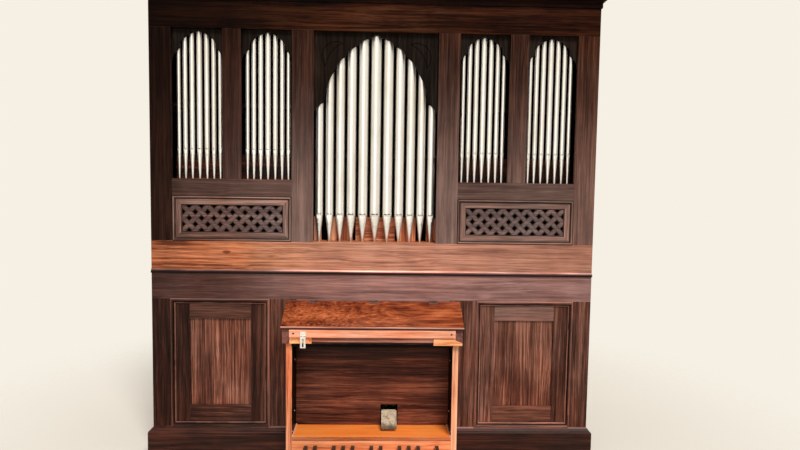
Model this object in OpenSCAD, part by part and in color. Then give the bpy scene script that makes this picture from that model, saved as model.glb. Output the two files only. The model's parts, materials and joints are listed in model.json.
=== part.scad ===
// Chamber pipe organ: a five-flat front of 39 pipes over a panelled case, with a console let
// into its lower half. The origin is on the floor, in the middle of the case's front plane.
// +Z is up and -Y is toward the player. All sizes are millimetres.

/* [Case] */
// Width of the case
case_w = 3100; // [3060:10:3300]
// Depth of the case from its front plane to its back
case_d = 1200; // [900:10:1500]
// Thickness of the framing boards
frame_t = 30; // [24:1:40]
// Thickness of the fielded boards in the side and back frames
infill_t = 14; // [10:1:20]
// Width of the side and back frames' uprights
side_stile_w = 130; // [100:5:180]

/* [Plinth] */
// Height of the plinth
plinth_h = 214; // [150:1:240]
// How far the plinth stands proud of the case
plinth_proud = 30; // [15:1:45]
// Height of the plinth's top moulding
plinth_top_h = 28; // [16:1:40]

/* [Lower case] */
// Height of the frame's bottom rail
bottom_rail_h = 226; // [210:1:260]
// Height of the lower panels, over their mouldings
panel_h = 918; // [880:1:940]
// Width of the lower panels, over their mouldings
panel_w = 690; // [600:5:740]
// Distance from the case's end to a lower panel
lower_stile_w = 129; // [110:1:170]
// Height of the rail over the lower panels
top_rail_h = 179; // [160:1:220]
// Width of the raised moulding round a lower panel
bolection_w = 35; // [28:1:45]
// How far that moulding stands proud
bolection_proud = 16; // [10:1:24]
// Width of the inner frame's uprights
door_stile_w = 97; // [70:1:110]
// Height of the inner frame's top rail
door_top_h = 108; // [70:1:120]
// Height of the inner frame's bottom rail
door_bottom_h = 117; // [80:1:130]
// How far the inner frame lies behind the case's front
door_set_back = 6; // [2:1:12]
// How far the boarded panel lies behind the inner frame
board_set_back = 14; // [6:1:16]
// Thickness of the boarded panel
board_t = 12; // [8:1:18]

/* [Waist] */
// Height of the waist moulding
bead_h = 30; // [20:1:40]
// How far the waist moulding stands proud
bead_proud = 15; // [8:1:18]
// Height of the waist rail
waist_rail_h = 197; // [160:1:220]

/* [Upper case] */
// Width of the outer uprights
outer_stile_w = 148; // [120:1:170]
// Width of the openings over the side flats
side_open_w = 348; // [346:1:364]
// Width of the upright between two side flats
mullion_w = 126; // [96:1:130]
// Width of the opening over the centre flat
centre_open_w = 862; // [850:2:900]
// Height of the zone that holds the pierced grilles
grille_zone_h = 314; // [300:1:340]
// Height of the rail between a grille and its flats
sill_rail_h = 119; // [110:1:150]
// Height of the openings over the side flats
side_open_h = 1023; // [960:1:1040]
// Height of the frieze
frieze_h = 190; // [160:5:240]
// Height of the cornice
cornice_h = 120; // [90:5:150]
// How far the cornice overhangs
cornice_proud = 40; // [30:1:60]
// Thickness of the roof board
roof_t = 18; // [12:1:25]

/* [Arched panels] */
// Thickness of the foiled panels over the pipes
arch_t = 12; // [8:1:16]
// How far those panels lap behind the framing
arch_lap = 15; // [8:1:25]
// Depth of the line cut into the centre panel
groove_depth = 3; // [1:0.5:5]
// Width of that line
groove_w = 5; // [3:0.5:8]

/* [Grilles] */
// Width of the moulding round a grille
grille_moulding_w = 25; // [18:1:32]
// Width of the flat frame inside that moulding
grille_frame_w = 40; // [30:1:50]
// Thickness of the pierced board
grille_t = 8; // [6:1:12]
// Distance between two holes of one row
grille_pitch = 86; // [84:1:88]
// Side of a diamond hole
grille_hole = 25; // [16:1:28]
// Width of the bands that weave over and under each other
band_w = 24; // [16:1:28]
// How far those bands stand proud
band_h = 3; // [2:0.5:4]
// Gap beside a band that passes over
band_gap = 3; // [1:0.5:5]

/* [Pipes] */
// Wall of the pipes
pipe_wall = 2; // [1.5:0.1:3]
// Space between two centre pipes
centre_gap = 15.5; // [10:0.5:16]
// Diameter of the middle pipe of a side flat
side_pipe_d = 38; // [35:1:41]
// Space between two side pipes
side_gap = 15; // [9:0.5:15]
// Length of the centre pipes' feet, from the toe board to the mouth
centre_foot_l = 188; // [170:2:230]
// Length of the side pipes' feet
side_foot_l = 204; // [170:2:230]
// Diameter of a foot's tip
tip_d = 13; // [10:1:18]
// Height of a mouth over its width
cut_up = 0.3; // [0.22:0.01:0.4]
// Gap between the arched panels and the pipes behind them
pipe_clear = 8; // [7:1:40]
// How far the pipes rise behind the arched panels
pipe_rise = 60; // [30:5:90]
// Thickness of the boards that the pipes stand on
toe_board_t = 25; // [18:1:32]
// Height of the wind chests' boards behind the feet
chest_h = 172; // [120:4:180]
// Thickness of those boards
chest_t = 24; // [16:1:40]

/* [Console] */
// Width over the console's posts
post_span = 1164; // [1140:2:1180]
// Thickness of the posts
post_t = 40; // [30:1:46]
// Depth of the posts
post_d = 210; // [170:5:230]
// Height of the key desk's underside
desk_z = 870; // [840:1:880]
// Thickness of the key bed
key_bed_t = 22; // [18:1:26]
// Depth of the key desk
desk_d = 240; // [230:1:260]
// Width over the key desk's cheeks
cheek_span = 1210; // [1180:2:1230]
// Thickness of the cheeks
cheek_t = 50; // [40:1:56]
// Thickness of the kneeboard
knee_t = 20; // [16:1:28]
// Height of the toe shelf's top
shelf_z = 240; // [220:1:250]
// Depth of the toe shelf
shelf_d = 210; // [170:2:220]
// Thickness of the toe shelf
shelf_t = 20; // [14:1:24]
// Gap between the toe shelf's lip and the pedal keys
lip_gap = 4; // [3:1:40]

/* [Lid] */
// How far the lid reaches past the cheeks
lid_over = 6; // [0:1:20]
// Thickness of the lid
lid_t = 22; // [18:1:28]
// Slope of the lid
lid_slope = 27.5; // [20:0.5:28]
// Height of the lid's hinged edge
lid_z = 1137; // [1120:1:1140]
// Distance from the case's front to the lid's hinged edge
lid_y = 22; // [20:1:30]
// How far the lid reaches in front of the case
lid_reach = 270; // [262:1:290]
// Height of the rail under the lid's front edge
lid_rail_h = 48; // [48:1:62]
// Thickness of that rail
lid_rail_t = 20; // [16:1:24]
// Clearance between the lid and what it closes on
lid_clear = 0.5; // [0.3:0.1:2]
// Diameter of the lid's hinge barrels
barrel_d = 9; // [8:0.5:12]
// Diameter of the hinge pins
pin_d = 5; // [3:0.5:5]
// Running clearance of the hinge pins, on the radius
pin_clear = 0.1; // [0.05:0.01:0.15]

/* [Hasp] */
// Width of the hasp
hasp_w = 36; // [28:1:40]
// Length of the swinging strap
hasp_l = 84; // [70:1:90]
// Thickness of the hasp's plates
hasp_t = 3; // [2:0.5:4]
// Distance from the middle to the hasp's middle
hasp_x = 462; // [440:1:480]

/* [Keys] */
// Number of natural keys on the manual
manual_naturals_n = 34; // [27:1:34]
// Distance between two natural keys
key_pitch = 23.6; // [22.6:0.1:23.7]
// Gap between two keys
key_gap = 1; // [0.6:0.1:1.4]
// Length of the natural keys
key_l = 137; // [130:1:140]
// Height of the natural keys' tops over the key bed
key_h = 34; // [26:1:36]
// Height of the sharp keys over the naturals
sharp_h = 12; // [9:1:14]

/* [Pedalboard] */
// Number of natural pedal keys
pedal_naturals_n = 16; // [16:1:16]
// Distance between two natural pedal keys
pedal_pitch = 63.5; // [60:0.5:64]
// Width of a pedal key
pedal_key_w = 24; // [20:1:28]
// Depth of a pedal key
pedal_key_h = 36; // [28:1:42]
// Height of the pedal frame's rails
pedal_rail_h = 100; // [80:1:110]
// Length of the pedalboard
pedal_l = 830; // [700:10:900]
// Thickness of the pedal frame's boards
pedal_board_t = 24; // [18:1:26]
// Height of the sharps over the naturals
pedal_sharp_h = 52; // [40:1:54]
// Length of the sharps
pedal_sharp_l = 150; // [120:5:170]

/* [Swell pedal] */
// Width of the swell pedal
swell_w = 108; // [90:1:112]
// Length of the swell pedal
swell_l = 160; // [140:2:160]
// Thickness of the swell pedal's plate
swell_t = 8; // [6:1:12]
// Slope of the swell pedal at rest
swell_slope = 32; // [28:1:34]
// Distance from the middle to the swell pedal's middle
swell_x = 119; // [60:1:240]
// Width of the hole in the kneeboard
slot_w = 122; // [120:1:140]
// Height of the hole in the kneeboard
slot_h = 150; // [148:1:180]

/* [Hidden] */
$fn = 48;
eps = 1;

// Colours
rosewood = [0.29, 0.18, 0.13];
waist_brown = [0.62, 0.36, 0.25];
panel_brown = [0.48, 0.28, 0.20];
spandrel_dark = [0.17, 0.14, 0.13];
lid_orange = [0.58, 0.28, 0.14];
post_orange = [0.90, 0.56, 0.40];
shelf_orange = [0.93, 0.44, 0.22];
pipe_white = [0.92, 0.91, 0.88];
steel = [0.80, 0.79, 0.76];
ebony = [0.10, 0.08, 0.08];
ivory = [0.90, 0.87, 0.78];

// Heights of the case's parts, from the floor up
panel_z = bottom_rail_h;
top_rail_z = panel_z + panel_h;
bead_z = top_rail_z + top_rail_h;
waist_z = bead_z + bead_h;
sill_z = waist_z + waist_rail_h;
side_rail_z = sill_z + grille_zone_h;
side_sill_z = side_rail_z + sill_rail_h;
frieze_z = side_sill_z + side_open_h;
case_h = frieze_z + frieze_h;

// Places across the case, from the middle outward
half_w = case_w / 2;
centre_edge = centre_open_w / 2;
outer_edge = half_w - outer_stile_w;
mullion_out = outer_edge - side_open_w;
mullion_in = mullion_out - mullion_w;
inner_edge = mullion_in - side_open_w;
panel_out = half_w - lower_stile_w;
panel_in = panel_out - panel_w;
post_out = post_span / 2;
post_in = post_out - post_t;
grille_span = outer_edge - inner_edge;
outer_flat_x = outer_edge - side_open_w / 2;
inner_flat_x = mullion_in - side_open_w / 2;

// Points of an arc, in turns of its centre, radius and two angles
function arc(cx, cy, r, a0, a1, n = 6) =
    [for (i = [0:n]) let (a = a0 + (a1 - a0) * i / n) [cx + r * cos(a), cy + r * sin(a)]];

// Points of the arc of radius r that bulges up and outward from p to q
function bulge(p, q, r, n = 7) =
    let (
        m = (p + q) / 2,
        d = q - p,
        half = norm(d) / 2,
        h = sqrt(max(r * r - half * half, 0)),
        c = m + [d[1], -d[0]] / norm(d) * h,
        a0 = atan2(p[1] - c[1], p[0] - c[0]),
        a1 = atan2(q[1] - c[1], q[0] - c[0])
    )
    [for (i = [0:n]) let (a = a0 + (a1 - a0) * i / n) c + r * [cos(a), sin(a)]];

// The list in the other order, mirrored left to right
function mirrored(points) = [for (i = [len(points) - 1:-1:0]) [-points[i][0], points[i][1]]];

// Box between two corners
module block(low, high) {
    translate(low) cube(high - low);
}

// The same on the left and on the right
module both_sides() {
    children();
    mirror([1, 0, 0]) children();
}

// Straight moulding mitred in its own face, as in a picture frame. The children are its section:
// x inward from the outer edge, y forward. It runs along X with its outer edge at z = 0.
module mitred_bar(length, width) {
    intersection() {
        translate([-length / 2, 0, 0])
            rotate([180, -90, 0])
                linear_extrude(length) children();
        translate([0, width, 0])
            rotate([90, 0, 0])
                linear_extrude(2 * width)
                    polygon([
                        [-length / 2, 0], [length / 2, 0],
                        [length / 2 - width, width], [-length / 2 + width, width]
                    ]);
    }
}

// The two level bars of a frame w by h, about its middle
module frame_level(w, h, width) {
    translate([0, 0, -h / 2]) mitred_bar(w, width) children();
    translate([0, 0, h / 2]) rotate([0, 180, 0]) mitred_bar(w, width) children();
}

// The two upright bars of a frame w by h, about its middle
module frame_upright(w, h, width) {
    translate([-w / 2, 0, 0]) rotate([0, 90, 0]) mitred_bar(h, width) children();
    translate([w / 2, 0, 0]) rotate([0, -90, 0]) mitred_bar(h, width) children();
}

// Moulding along the case's front, mitred at both corners. The children are its section:
// x outward from the case's face, y up.
module run_front(z, proud, inward) {
    reach = half_w + proud;
    intersection() {
        translate([reach, 0, z])
            rotate([90, 0, -90])
                linear_extrude(2 * reach) children();
        linear_extrude(2 * case_h)
            polygon([
                [-reach, -proud], [reach, -proud],
                [half_w - inward, inward], [-half_w + inward, inward]
            ]);
    }
}

// The same moulding along both ends of the case
module run_ends(z, proud, inward) {
    both_sides()
        intersection() {
            translate([half_w, case_d, z])
                rotate([90, 0, 0])
                    linear_extrude(case_d + proud) children();
            linear_extrude(2 * case_h)
                polygon([
                    [half_w - inward, inward], [half_w + proud, -proud],
                    [half_w + proud, case_d], [half_w - inward, case_d]
                ]);
        }
}

// Sections of the mouldings
module plinth_section() {
    round_r = plinth_top_h / 2;
    polygon(concat(
        [[0, 0], [plinth_proud, 0], [plinth_proud, plinth_h - plinth_top_h]],
        arc(plinth_proud - round_r, plinth_h - plinth_top_h, round_r, 0, 90, 5),
        [[4, plinth_h], [0, plinth_h]]
    ));
}

module bead_section() {
    r = bead_h * 0.3;
    polygon(concat(
        [[0, 0], [bead_proud - r, 0]],
        arc(bead_proud - r, r, r, -90, 90, 8),
        [[bead_proud - r, bead_h * 0.75], [bead_proud * 0.3, bead_h], [0, bead_h]]
    ));
}

cornice_in = 12;
module cornice_section() {
    foot = cornice_proud * 0.2;
    cove_r = cornice_proud * 0.55;
    step_z = cornice_h * 0.22;
    top_z = cornice_h * 0.72;
    polygon(concat(
        [[-cornice_in, 0], [foot, 0], [foot, step_z]],
        arc(foot + cove_r, step_z, cove_r, 180, 90, 6),
        [
            [foot + cove_r, step_z + cove_r + 6],
            [cornice_proud, top_z - 10], [cornice_proud, top_z]
        ],
        arc(cornice_proud - 8, cornice_h - 12, 8, 0, 90, 4),
        [[-cornice_in, cornice_h - 4]]
    ));
}

module bolection_section() {
    roll_r = bolection_w * 0.3;
    bead_r = bolection_w * 0.11;
    polygon(concat(
        [[0, -door_set_back], [0, 4]],
        arc(roll_r + 1, bolection_proud - roll_r, roll_r, 180, 20, 8),
        [[bolection_w * 0.68, bolection_proud * 0.35]],
        arc(bolection_w - bead_r - 2, 2, bead_r, 150, -20, 5),
        [[bolection_w, -2], [bolection_w, -door_set_back]]
    ));
}

module grille_frame_section() {
    roll_r = grille_moulding_w * 0.34;
    polygon(concat(
        [[0, -frame_t], [0, -2]],
        arc(roll_r, -2, roll_r, 180, 30, 6),
        [[grille_moulding_w * 0.8, -4], [grille_moulding_w, -6]],
        [[grille_moulding_w + grille_frame_w - 5, -6]],
        [[grille_moulding_w + grille_frame_w, -11]],
        [[grille_moulding_w + grille_frame_w, -frame_t]]
    ));
}

// Plinth
module plinth_front() {
    color(rosewood)
        difference() {
            run_front(0, plinth_proud, 0) plinth_section();
            block([-post_out, -plinth_proud - eps, -eps], [post_out, eps, plinth_h + eps]);
        }
}

module plinth_ends() {
    color(rosewood) run_ends(0, plinth_proud, 0) plinth_section();
}

// Lower frame
module lower_rails() {
    color(rosewood) {
        block([-half_w, 0, 0], [half_w, frame_t, bottom_rail_h]);
        block([-half_w, 0, top_rail_z], [half_w, frame_t, bead_z]);
    }
}

module lower_stiles() {
    color(rosewood)
        both_sides() {
            block([panel_out, 0, panel_z], [half_w, frame_t, top_rail_z]);
            block([post_in, 0, panel_z], [panel_in, frame_t, top_rail_z]);
        }
}

// Boards behind the key desk
module console_back() {
    color(rosewood) block([-post_in, 0, desk_z], [post_in, frame_t, top_rail_z]);
}

// Lower panels: a raised moulding, an inner frame and a board
module at_lower_panels() {
    for (side = [-1, 1])
        translate([side * (panel_in + panel_out) / 2, 0, panel_z + panel_h / 2]) children();
}

module panel_moulding_stiles() {
    color(rosewood)
        at_lower_panels() frame_upright(panel_w, panel_h, bolection_w) bolection_section();
}

module panel_moulding_rails() {
    color(rosewood)
        at_lower_panels() frame_level(panel_w, panel_h, bolection_w) bolection_section();
}

module panel_frame_stiles() {
    color(rosewood)
        at_lower_panels()
            for (side = [-1, 1])
                translate([side * (panel_w - door_stile_w - bolection_w) / 2, 0, 0])
                    block(
                        [-(door_stile_w + bolection_w) / 2, door_set_back, -panel_h / 2],
                        [(door_stile_w + bolection_w) / 2, frame_t, panel_h / 2]
                    );
}

door_open_w = panel_w - 2 * (door_stile_w + bolection_w);
door_low = -panel_h / 2 + bolection_w + door_bottom_h;
door_high = panel_h / 2 - bolection_w - door_top_h;

module panel_frame_rails() {
    color(rosewood)
        at_lower_panels() {
            block([-door_open_w / 2, door_set_back, -panel_h / 2], [door_open_w / 2, frame_t, door_low]);
            block([-door_open_w / 2, door_set_back, door_high], [door_open_w / 2, frame_t, panel_h / 2]);
        }
}

module panel_boards() {
    face = door_set_back + board_set_back;
    color(panel_brown)
        at_lower_panels()
            block([-door_open_w / 2, face, door_low], [door_open_w / 2, face + board_t, door_high]);
}

// Waist
module waist_moulding() {
    color(rosewood) {
        translate([half_w, 0, bead_z])
            rotate([90, 0, -90])
                linear_extrude(case_w) bead_section();
        block([-half_w, 0, bead_z], [half_w, frame_t, waist_z]);
    }
}

module waist_rail() {
    color(waist_brown) block([-half_w, 0, waist_z], [half_w, frame_t, sill_z]);
}

// Upper frame
module upper_stiles() {
    color(rosewood)
        both_sides() {
            block([outer_edge, 0, sill_z], [half_w, frame_t, frieze_z]);
            block([centre_edge, 0, sill_z], [inner_edge, frame_t, frieze_z]);
            block([mullion_in, 0, side_sill_z], [mullion_out, frame_t, frieze_z]);
        }
}

module side_sill_rails() {
    color(rosewood)
        both_sides() block([inner_edge, 0, side_rail_z], [outer_edge, frame_t, side_sill_z]);
}

module frieze() {
    color(rosewood) block([-half_w, 0, frieze_z], [half_w, frame_t, case_h]);
}

module cornice() {
    color(rosewood) run_front(case_h, cornice_proud, cornice_in) cornice_section();
}

// Cornice on the case's ends
module end_mouldings() {
    color(rosewood) run_ends(case_h, cornice_proud, cornice_in) cornice_section();
}

module roof() {
    color(rosewood)
        block([-half_w + cornice_in, cornice_in, case_h], [half_w - cornice_in, case_d, case_h + roof_t]);
}

// Ends and back, framed as the front is
side_y0 = frame_t + side_stile_w;
side_y1 = case_d - frame_t - side_stile_w;
rail_levels = [[0, bottom_rail_h], [top_rail_z, sill_z], [frieze_z, case_h]];
bay_levels = [[bottom_rail_h, top_rail_z], [sill_z, frieze_z]];

module side_stiles() {
    color(rosewood)
        both_sides() {
            block([half_w - frame_t, frame_t, 0], [half_w, side_y0, case_h]);
            block([half_w - frame_t, side_y1, 0], [half_w, case_d - frame_t, case_h]);
        }
}

module back_stiles() {
    color(rosewood) {
        both_sides() block([half_w - side_stile_w, case_d - frame_t, 0], [half_w, case_d, case_h]);
        block([-side_stile_w / 2, case_d - frame_t, 0], [side_stile_w / 2, case_d, case_h]);
    }
}

module case_rails() {
    color(rosewood)
        both_sides()
            for (level = rail_levels) {
                block([half_w - frame_t, side_y0, level[0]], [half_w, side_y1, level[1]]);
                block(
                    [side_stile_w / 2, case_d - frame_t, level[0]],
                    [half_w - side_stile_w, case_d, level[1]]
                );
            }
}

module case_panels() {
    set_back = (frame_t - infill_t) / 2;
    x1 = half_w - set_back;
    y1 = case_d - set_back;
    color(panel_brown)
        both_sides()
            for (level = bay_levels) {
                block([x1 - infill_t, side_y0, level[0]], [x1, side_y1, level[1]]);
                block([side_stile_w / 2, y1 - infill_t, level[0]], [half_w - side_stile_w, y1, level[1]]);
            }
}

// Diameters of the pipes from the middle of a flat outward
centre_d = [74, 69, 65.5, 61.5, 57.5, 56];
side_d = [for (share = [1, 0.89, 0.83, 0.72]) side_pipe_d * share];
// Places of the pipes, and of the gaps between them
function pipe_x(ds, gap, i) = i == 0 ? 0 : pipe_x(ds, gap, i - 1) + (ds[i - 1] + ds[i]) / 2 + gap;
function pipe_xs(ds, gap) = [for (i = [0:len(ds) - 1]) pipe_x(ds, gap, i)];
function cusps(ds, gap) = [for (i = [0:len(ds) - 2]) pipe_x(ds, gap, i) + (ds[i] + gap) / 2];
centre_pipe_y = frame_t + arch_t + pipe_clear + centre_d[0] / 2;
side_pipe_y = frame_t + arch_t + pipe_clear + side_d[0] / 2;
centre_xs = pipe_xs(centre_d, centre_gap);
side_xs = pipe_xs(side_d, side_gap);

// Foils of the centre panel, down from the opening's top: where each starts, where it ends, and
// the radius of its arc
centre_foil_top = [17, 45, 96, 166, 262, 482];
centre_foil_end = [45, 98, 168, 265, 478, 549];
centre_foil_r = [60, 80, 92, 146, 400, 160];
// Foils of a side panel in the same way
side_foil_top = [14, 28, 54, 131];
side_foil_end = [28, 52, 101, 200];
side_foil_r = [40, 46, 60, 110];

// Right half of a foiled outline, from its top to its bottom, in x and z
function foiled(xs, tops, ends, radii, top_z) =
    [for (i = [0:len(tops) - 1])
        each bulge(
            [i == 0 ? 0 : xs[i - 1], top_z - tops[i]],
            [xs[i], top_z - ends[i]],
            radii[i]
        )
    ];

// Whole foiled opening, closed along its bottom
module foiled_opening(right_half, bottom_z) {
    last = right_half[len(right_half) - 1];
    polygon(concat(
        [[-last[0], bottom_z]], mirrored(right_half),
        right_half, [[last[0], bottom_z]]
    ));
}

centre_outline = foiled(
    concat(cusps(centre_d, centre_gap), [centre_edge]),
    centre_foil_top, centre_foil_end, centre_foil_r, frieze_z
);
side_outline = foiled(
    concat(cusps(side_d, side_gap), [side_open_w / 2]),
    side_foil_top, side_foil_end, side_foil_r, frieze_z
);
centre_arch_z = frieze_z - centre_foil_end[5] - 15;
side_arch_z = frieze_z - side_foil_end[3] - 15;

// Foiled board that laps behind the framing round its opening
module arch_panel(open_w, low_z, right_half) {
    translate([0, frame_t + arch_t, 0])
        rotate([90, 0, 0])
            linear_extrude(arch_t)
                difference() {
                    translate([-open_w / 2 - arch_lap, low_z])
                        square([open_w + 2 * arch_lap, frieze_z + arch_lap - low_z]);
                    foiled_opening(right_half, low_z - eps);
                }
}

// Curved dagger cut into the centre panel as a line: x and height of the centre and the radius
// of its outer curve and of its inner one
dagger_outer = [279, -166, 101];
dagger_inner = [158, -255, 192];
module dagger(inset) {
    difference() {
        translate([dagger_outer[0], frieze_z + dagger_outer[1]]) circle(r = dagger_outer[2] - inset);
        translate([dagger_inner[0], frieze_z + dagger_inner[1]]) circle(r = dagger_inner[2] + inset);
    }
}

module arch_panel_centre() {
    color(spandrel_dark)
        difference() {
            arch_panel(centre_open_w, centre_arch_z, centre_outline);
            both_sides()
                translate([0, frame_t + groove_depth, 0])
                    rotate([90, 0, 0])
                        linear_extrude(groove_depth + eps)
                            difference() {
                                dagger(0);
                                dagger(groove_w);
                            }
        }
}

module arch_panels_side() {
    color(spandrel_dark)
        both_sides()
            for (x = [inner_flat_x, outer_flat_x])
                translate([x, 0, 0]) arch_panel(side_open_w, side_arch_z, side_outline);
}

// Grilles: a moulded frame round a pierced board of crossing strips
grille_border = grille_moulding_w + grille_frame_w;
grille_w = grille_span - 2 * grille_border;
grille_h = grille_zone_h - 2 * grille_border;

module at_grilles() {
    for (side = [-1, 1])
        translate([side * (inner_edge + outer_edge) / 2, 0, sill_z + grille_zone_h / 2]) children();
}

module grille_frame_stiles() {
    color(rosewood)
        at_grilles()
            frame_upright(grille_span, grille_zone_h, grille_border) grille_frame_section();
}

module grille_frame_rails() {
    color(rosewood)
        at_grilles() frame_level(grille_span, grille_zone_h, grille_border) grille_frame_section();
}

grille_columns = floor(grille_w / grille_pitch);
row_step = grille_pitch / 2;
grille_rows = floor(grille_h / row_step);

// One diamond hole
module diamond(side) {
    rotate(45) square(side, center = true);
}

// Copies of the children at the places of one row, from the middle out
module along_row(row, shift) {
    for (i = [-grille_columns / 2:grille_columns / 2])
        translate([(i + shift) * grille_pitch, (row - grille_rows / 2) * row_step]) children();
}

// Pierced board, its holes in rows that are set over by half a pitch
module pierced_board() {
    difference() {
        square([grille_w, grille_h], center = true);
        for (row = [0:grille_rows])
            along_row(row, row % 2 == 0 ? 0.5 : 0) diamond(grille_hole);
    }
}

// Bands between the holes: each crossing shows the band that passes over, and the band that
// passes under stops beside it
module woven_bands() {
    crossing = row_step * sqrt(2);
    band_l = 2 * crossing - band_w - 2 * band_gap;
    intersection() {
        square([grille_w, grille_h], center = true);
        for (row = [-1:grille_rows + 1])
            along_row(row, row % 2 == 0 ? 0 : 0.5)
                rotate(row % 2 == 0 ? 45 : -45) square([band_l, band_w], center = true);
    }
}

grille_back = frame_t - 6;
module grille(side) {
    color(rosewood)
        translate([side * (inner_edge + outer_edge) / 2, grille_back, sill_z + grille_zone_h / 2])
            rotate([90, 0, 0]) {
                linear_extrude(grille_t) pierced_board();
                linear_extrude(grille_t + band_h) woven_bands();
            }
}

module grille_left() {
    grille(-1);
}

module grille_right() {
    grille(1);
}

// One flue pipe that stands at the origin: a conical foot, a flattened mouth and an open body.
// Its mouth's width and its lips' length follow its diameter.
languid_t = 3;
mouth_share = 0.62;
flat_share = 0.48;
lip_share = 1.1;
module flue_pipe(d, foot_l, top) {
    r = d / 2;
    mouth_w = d * mouth_share;
    mouth_h = mouth_w * cut_up;
    flat_y = sqrt(r * r - pow(mouth_w * flat_share, 2));
    lip_l = d * lip_share;
    cut_l = lip_l * 1.15;
    lap = mouth_h / 4;
    tilt = atan((r - flat_y) / lip_l);
    foot_tilt = atan((r - tip_d / 2) / foot_l) - tilt;
    difference() {
        rotate_extrude()
            polygon([[0, 0], [tip_d / 2, 0], [r, foot_l], [r, top], [0, top]]);
        // Flattened upper and lower lips
        translate([-r, -flat_y, foot_l + mouth_h])
            rotate([tilt, 0, 0])
                translate([0, -r, -lap]) cube([d, r, cut_l + lap]);
        translate([-r, -flat_y, foot_l])
            rotate([foot_tilt, 0, 0])
                translate([0, -r, -cut_l]) cube([d, r, cut_l + lap]);
        // Mouth
        translate([-mouth_w / 2, -r - eps, foot_l]) cube([mouth_w, r, mouth_h]);
        // Bore over the languid, flat behind the upper lip
        translate([0, 0, foot_l + languid_t])
            difference() {
                cylinder(r = r - pipe_wall, h = top);
                translate([-r, -flat_y + pipe_wall, mouth_h - languid_t])
                    rotate([tilt, 0, 0])
                        translate([0, -r, -lap]) cube([d, r, cut_l + lap]);
            }
    }
}

module pipes_centre() {
    color(pipe_white)
        for (i = [-5:5])
            let (n = abs(i))
                translate([sign(i) * centre_xs[n], centre_pipe_y, sill_z])
                    flue_pipe(centre_d[n], centre_foot_l, frieze_z - sill_z - centre_foil_top[n] + pipe_rise);
}

module side_pipes() {
    for (x = [inner_flat_x, outer_flat_x])
        for (i = [-3:3])
            let (n = abs(i))
                translate([x + sign(i) * side_xs[n], side_pipe_y, side_sill_z])
                    flue_pipe(side_d[n], side_foot_l, side_open_h - side_foil_top[n] + pipe_rise);
}

module pipes_left() {
    color(pipe_white) mirror([1, 0, 0]) side_pipes();
}

module pipes_right() {
    color(pipe_white) side_pipes();
}

// Boards that the pipes stand on, behind the rails, and how far behind the pipes the chests lie
centre_chest_gap = 50;
side_chest_gap = 30;
module toe_boards() {
    color(waist_brown) {
        block(
            [-centre_edge - arch_lap, frame_t, sill_z - toe_board_t],
            [centre_edge + arch_lap, centre_pipe_y + centre_chest_gap + 2 * chest_t, sill_z]
        );
        both_sides()
            block(
                [inner_edge, frame_t, side_sill_z - toe_board_t],
                [outer_edge, side_pipe_y + side_chest_gap + 2 * chest_t, side_sill_z]
            );
    }
}

// Boards of the centre wind chest, left and right edge of each, with gaps between them
chest_spans = [[-440, -386], [-320, -160], [-138, 146], [172, 296], [372, 440]];
module wind_chest_centre() {
    color(shelf_orange)
        for (span = chest_spans)
            block(
                [span[0], centre_pipe_y + centre_chest_gap, sill_z],
                [span[1], centre_pipe_y + centre_chest_gap + chest_t, sill_z + chest_h]
            );
}

module wind_chest_sides() {
    color(waist_brown)
        both_sides()
            block(
                [inner_edge, side_pipe_y + side_chest_gap, side_sill_z],
                [outer_edge, side_pipe_y + side_chest_gap + chest_t, side_sill_z + chest_h]
            );
}

// Racks that steady the pipes from behind, cut out round each pipe, and the arms that carry them
centre_rack_z = 600;
side_rack_z = 500;
rack_t = 25;
rack_deep = 30;
rack_clear = 0.3;
rack_arm_w = 30;
rack_arm_h = 40;
centre_rack_half = centre_edge + arch_lap;
side_rack_half = side_open_w / 2 + arch_lap;

module rack(half, y, xs, ds) {
    difference() {
        block([-half, y, 0], [half, y + max(ds) / 2 + rack_deep, rack_t]);
        for (i = [0:len(xs) - 1])
            translate([xs[i], y, -eps]) cylinder(d = ds[i] + 2 * rack_clear, h = rack_t + 2 * eps);
    }
}

module rack_arm_pair(half, y, d) {
    both_sides()
        block(
            [half - rack_arm_w / 2, frame_t, -rack_arm_h],
            [half + rack_arm_w / 2, y + d / 2 + rack_deep, 0]
        );
}

module pipe_racks() {
    color(rosewood) {
        translate([0, 0, sill_z + centre_rack_z])
            rack(
                centre_rack_half, centre_pipe_y,
                [for (i = [-5:5]) sign(i) * centre_xs[abs(i)]],
                [for (i = [-5:5]) centre_d[abs(i)]]
            );
        both_sides()
            for (x = [inner_flat_x, outer_flat_x])
                translate([x, 0, side_sill_z + side_rack_z])
                    rack(
                        side_rack_half, side_pipe_y,
                        [for (i = [-3:3]) sign(i) * side_xs[abs(i)]],
                        [for (i = [-3:3]) side_d[abs(i)]]
                    );
    }
}

module rack_arms() {
    color(rosewood) {
        translate([0, 0, sill_z + centre_rack_z])
            rack_arm_pair(centre_rack_half, centre_pipe_y, centre_d[0]);
        both_sides()
            for (x = [inner_flat_x, outer_flat_x])
                translate([x, 0, side_sill_z + side_rack_z])
                    rack_arm_pair(side_rack_half, side_pipe_y, side_d[0]);
    }
}

// Console
desk_top = desk_z + key_bed_t;
lid_tan = tan(lid_slope);
lid_w = cheek_span + 2 * lid_over;
// Height of the lid's underside at a distance in front of the case
function lid_under(y) = lid_z - (y - lid_y) * lid_tan - lid_t / cos(lid_slope) - lid_clear;

module console_posts() {
    color(post_orange)
        both_sides() block([post_in, -post_d, 0], [post_out, 0, desk_top]);
}

module kneeboard() {
    color(rosewood) block([-post_in, 0, shelf_z + slot_h], [post_in, knee_t, desk_z]);
}

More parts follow.
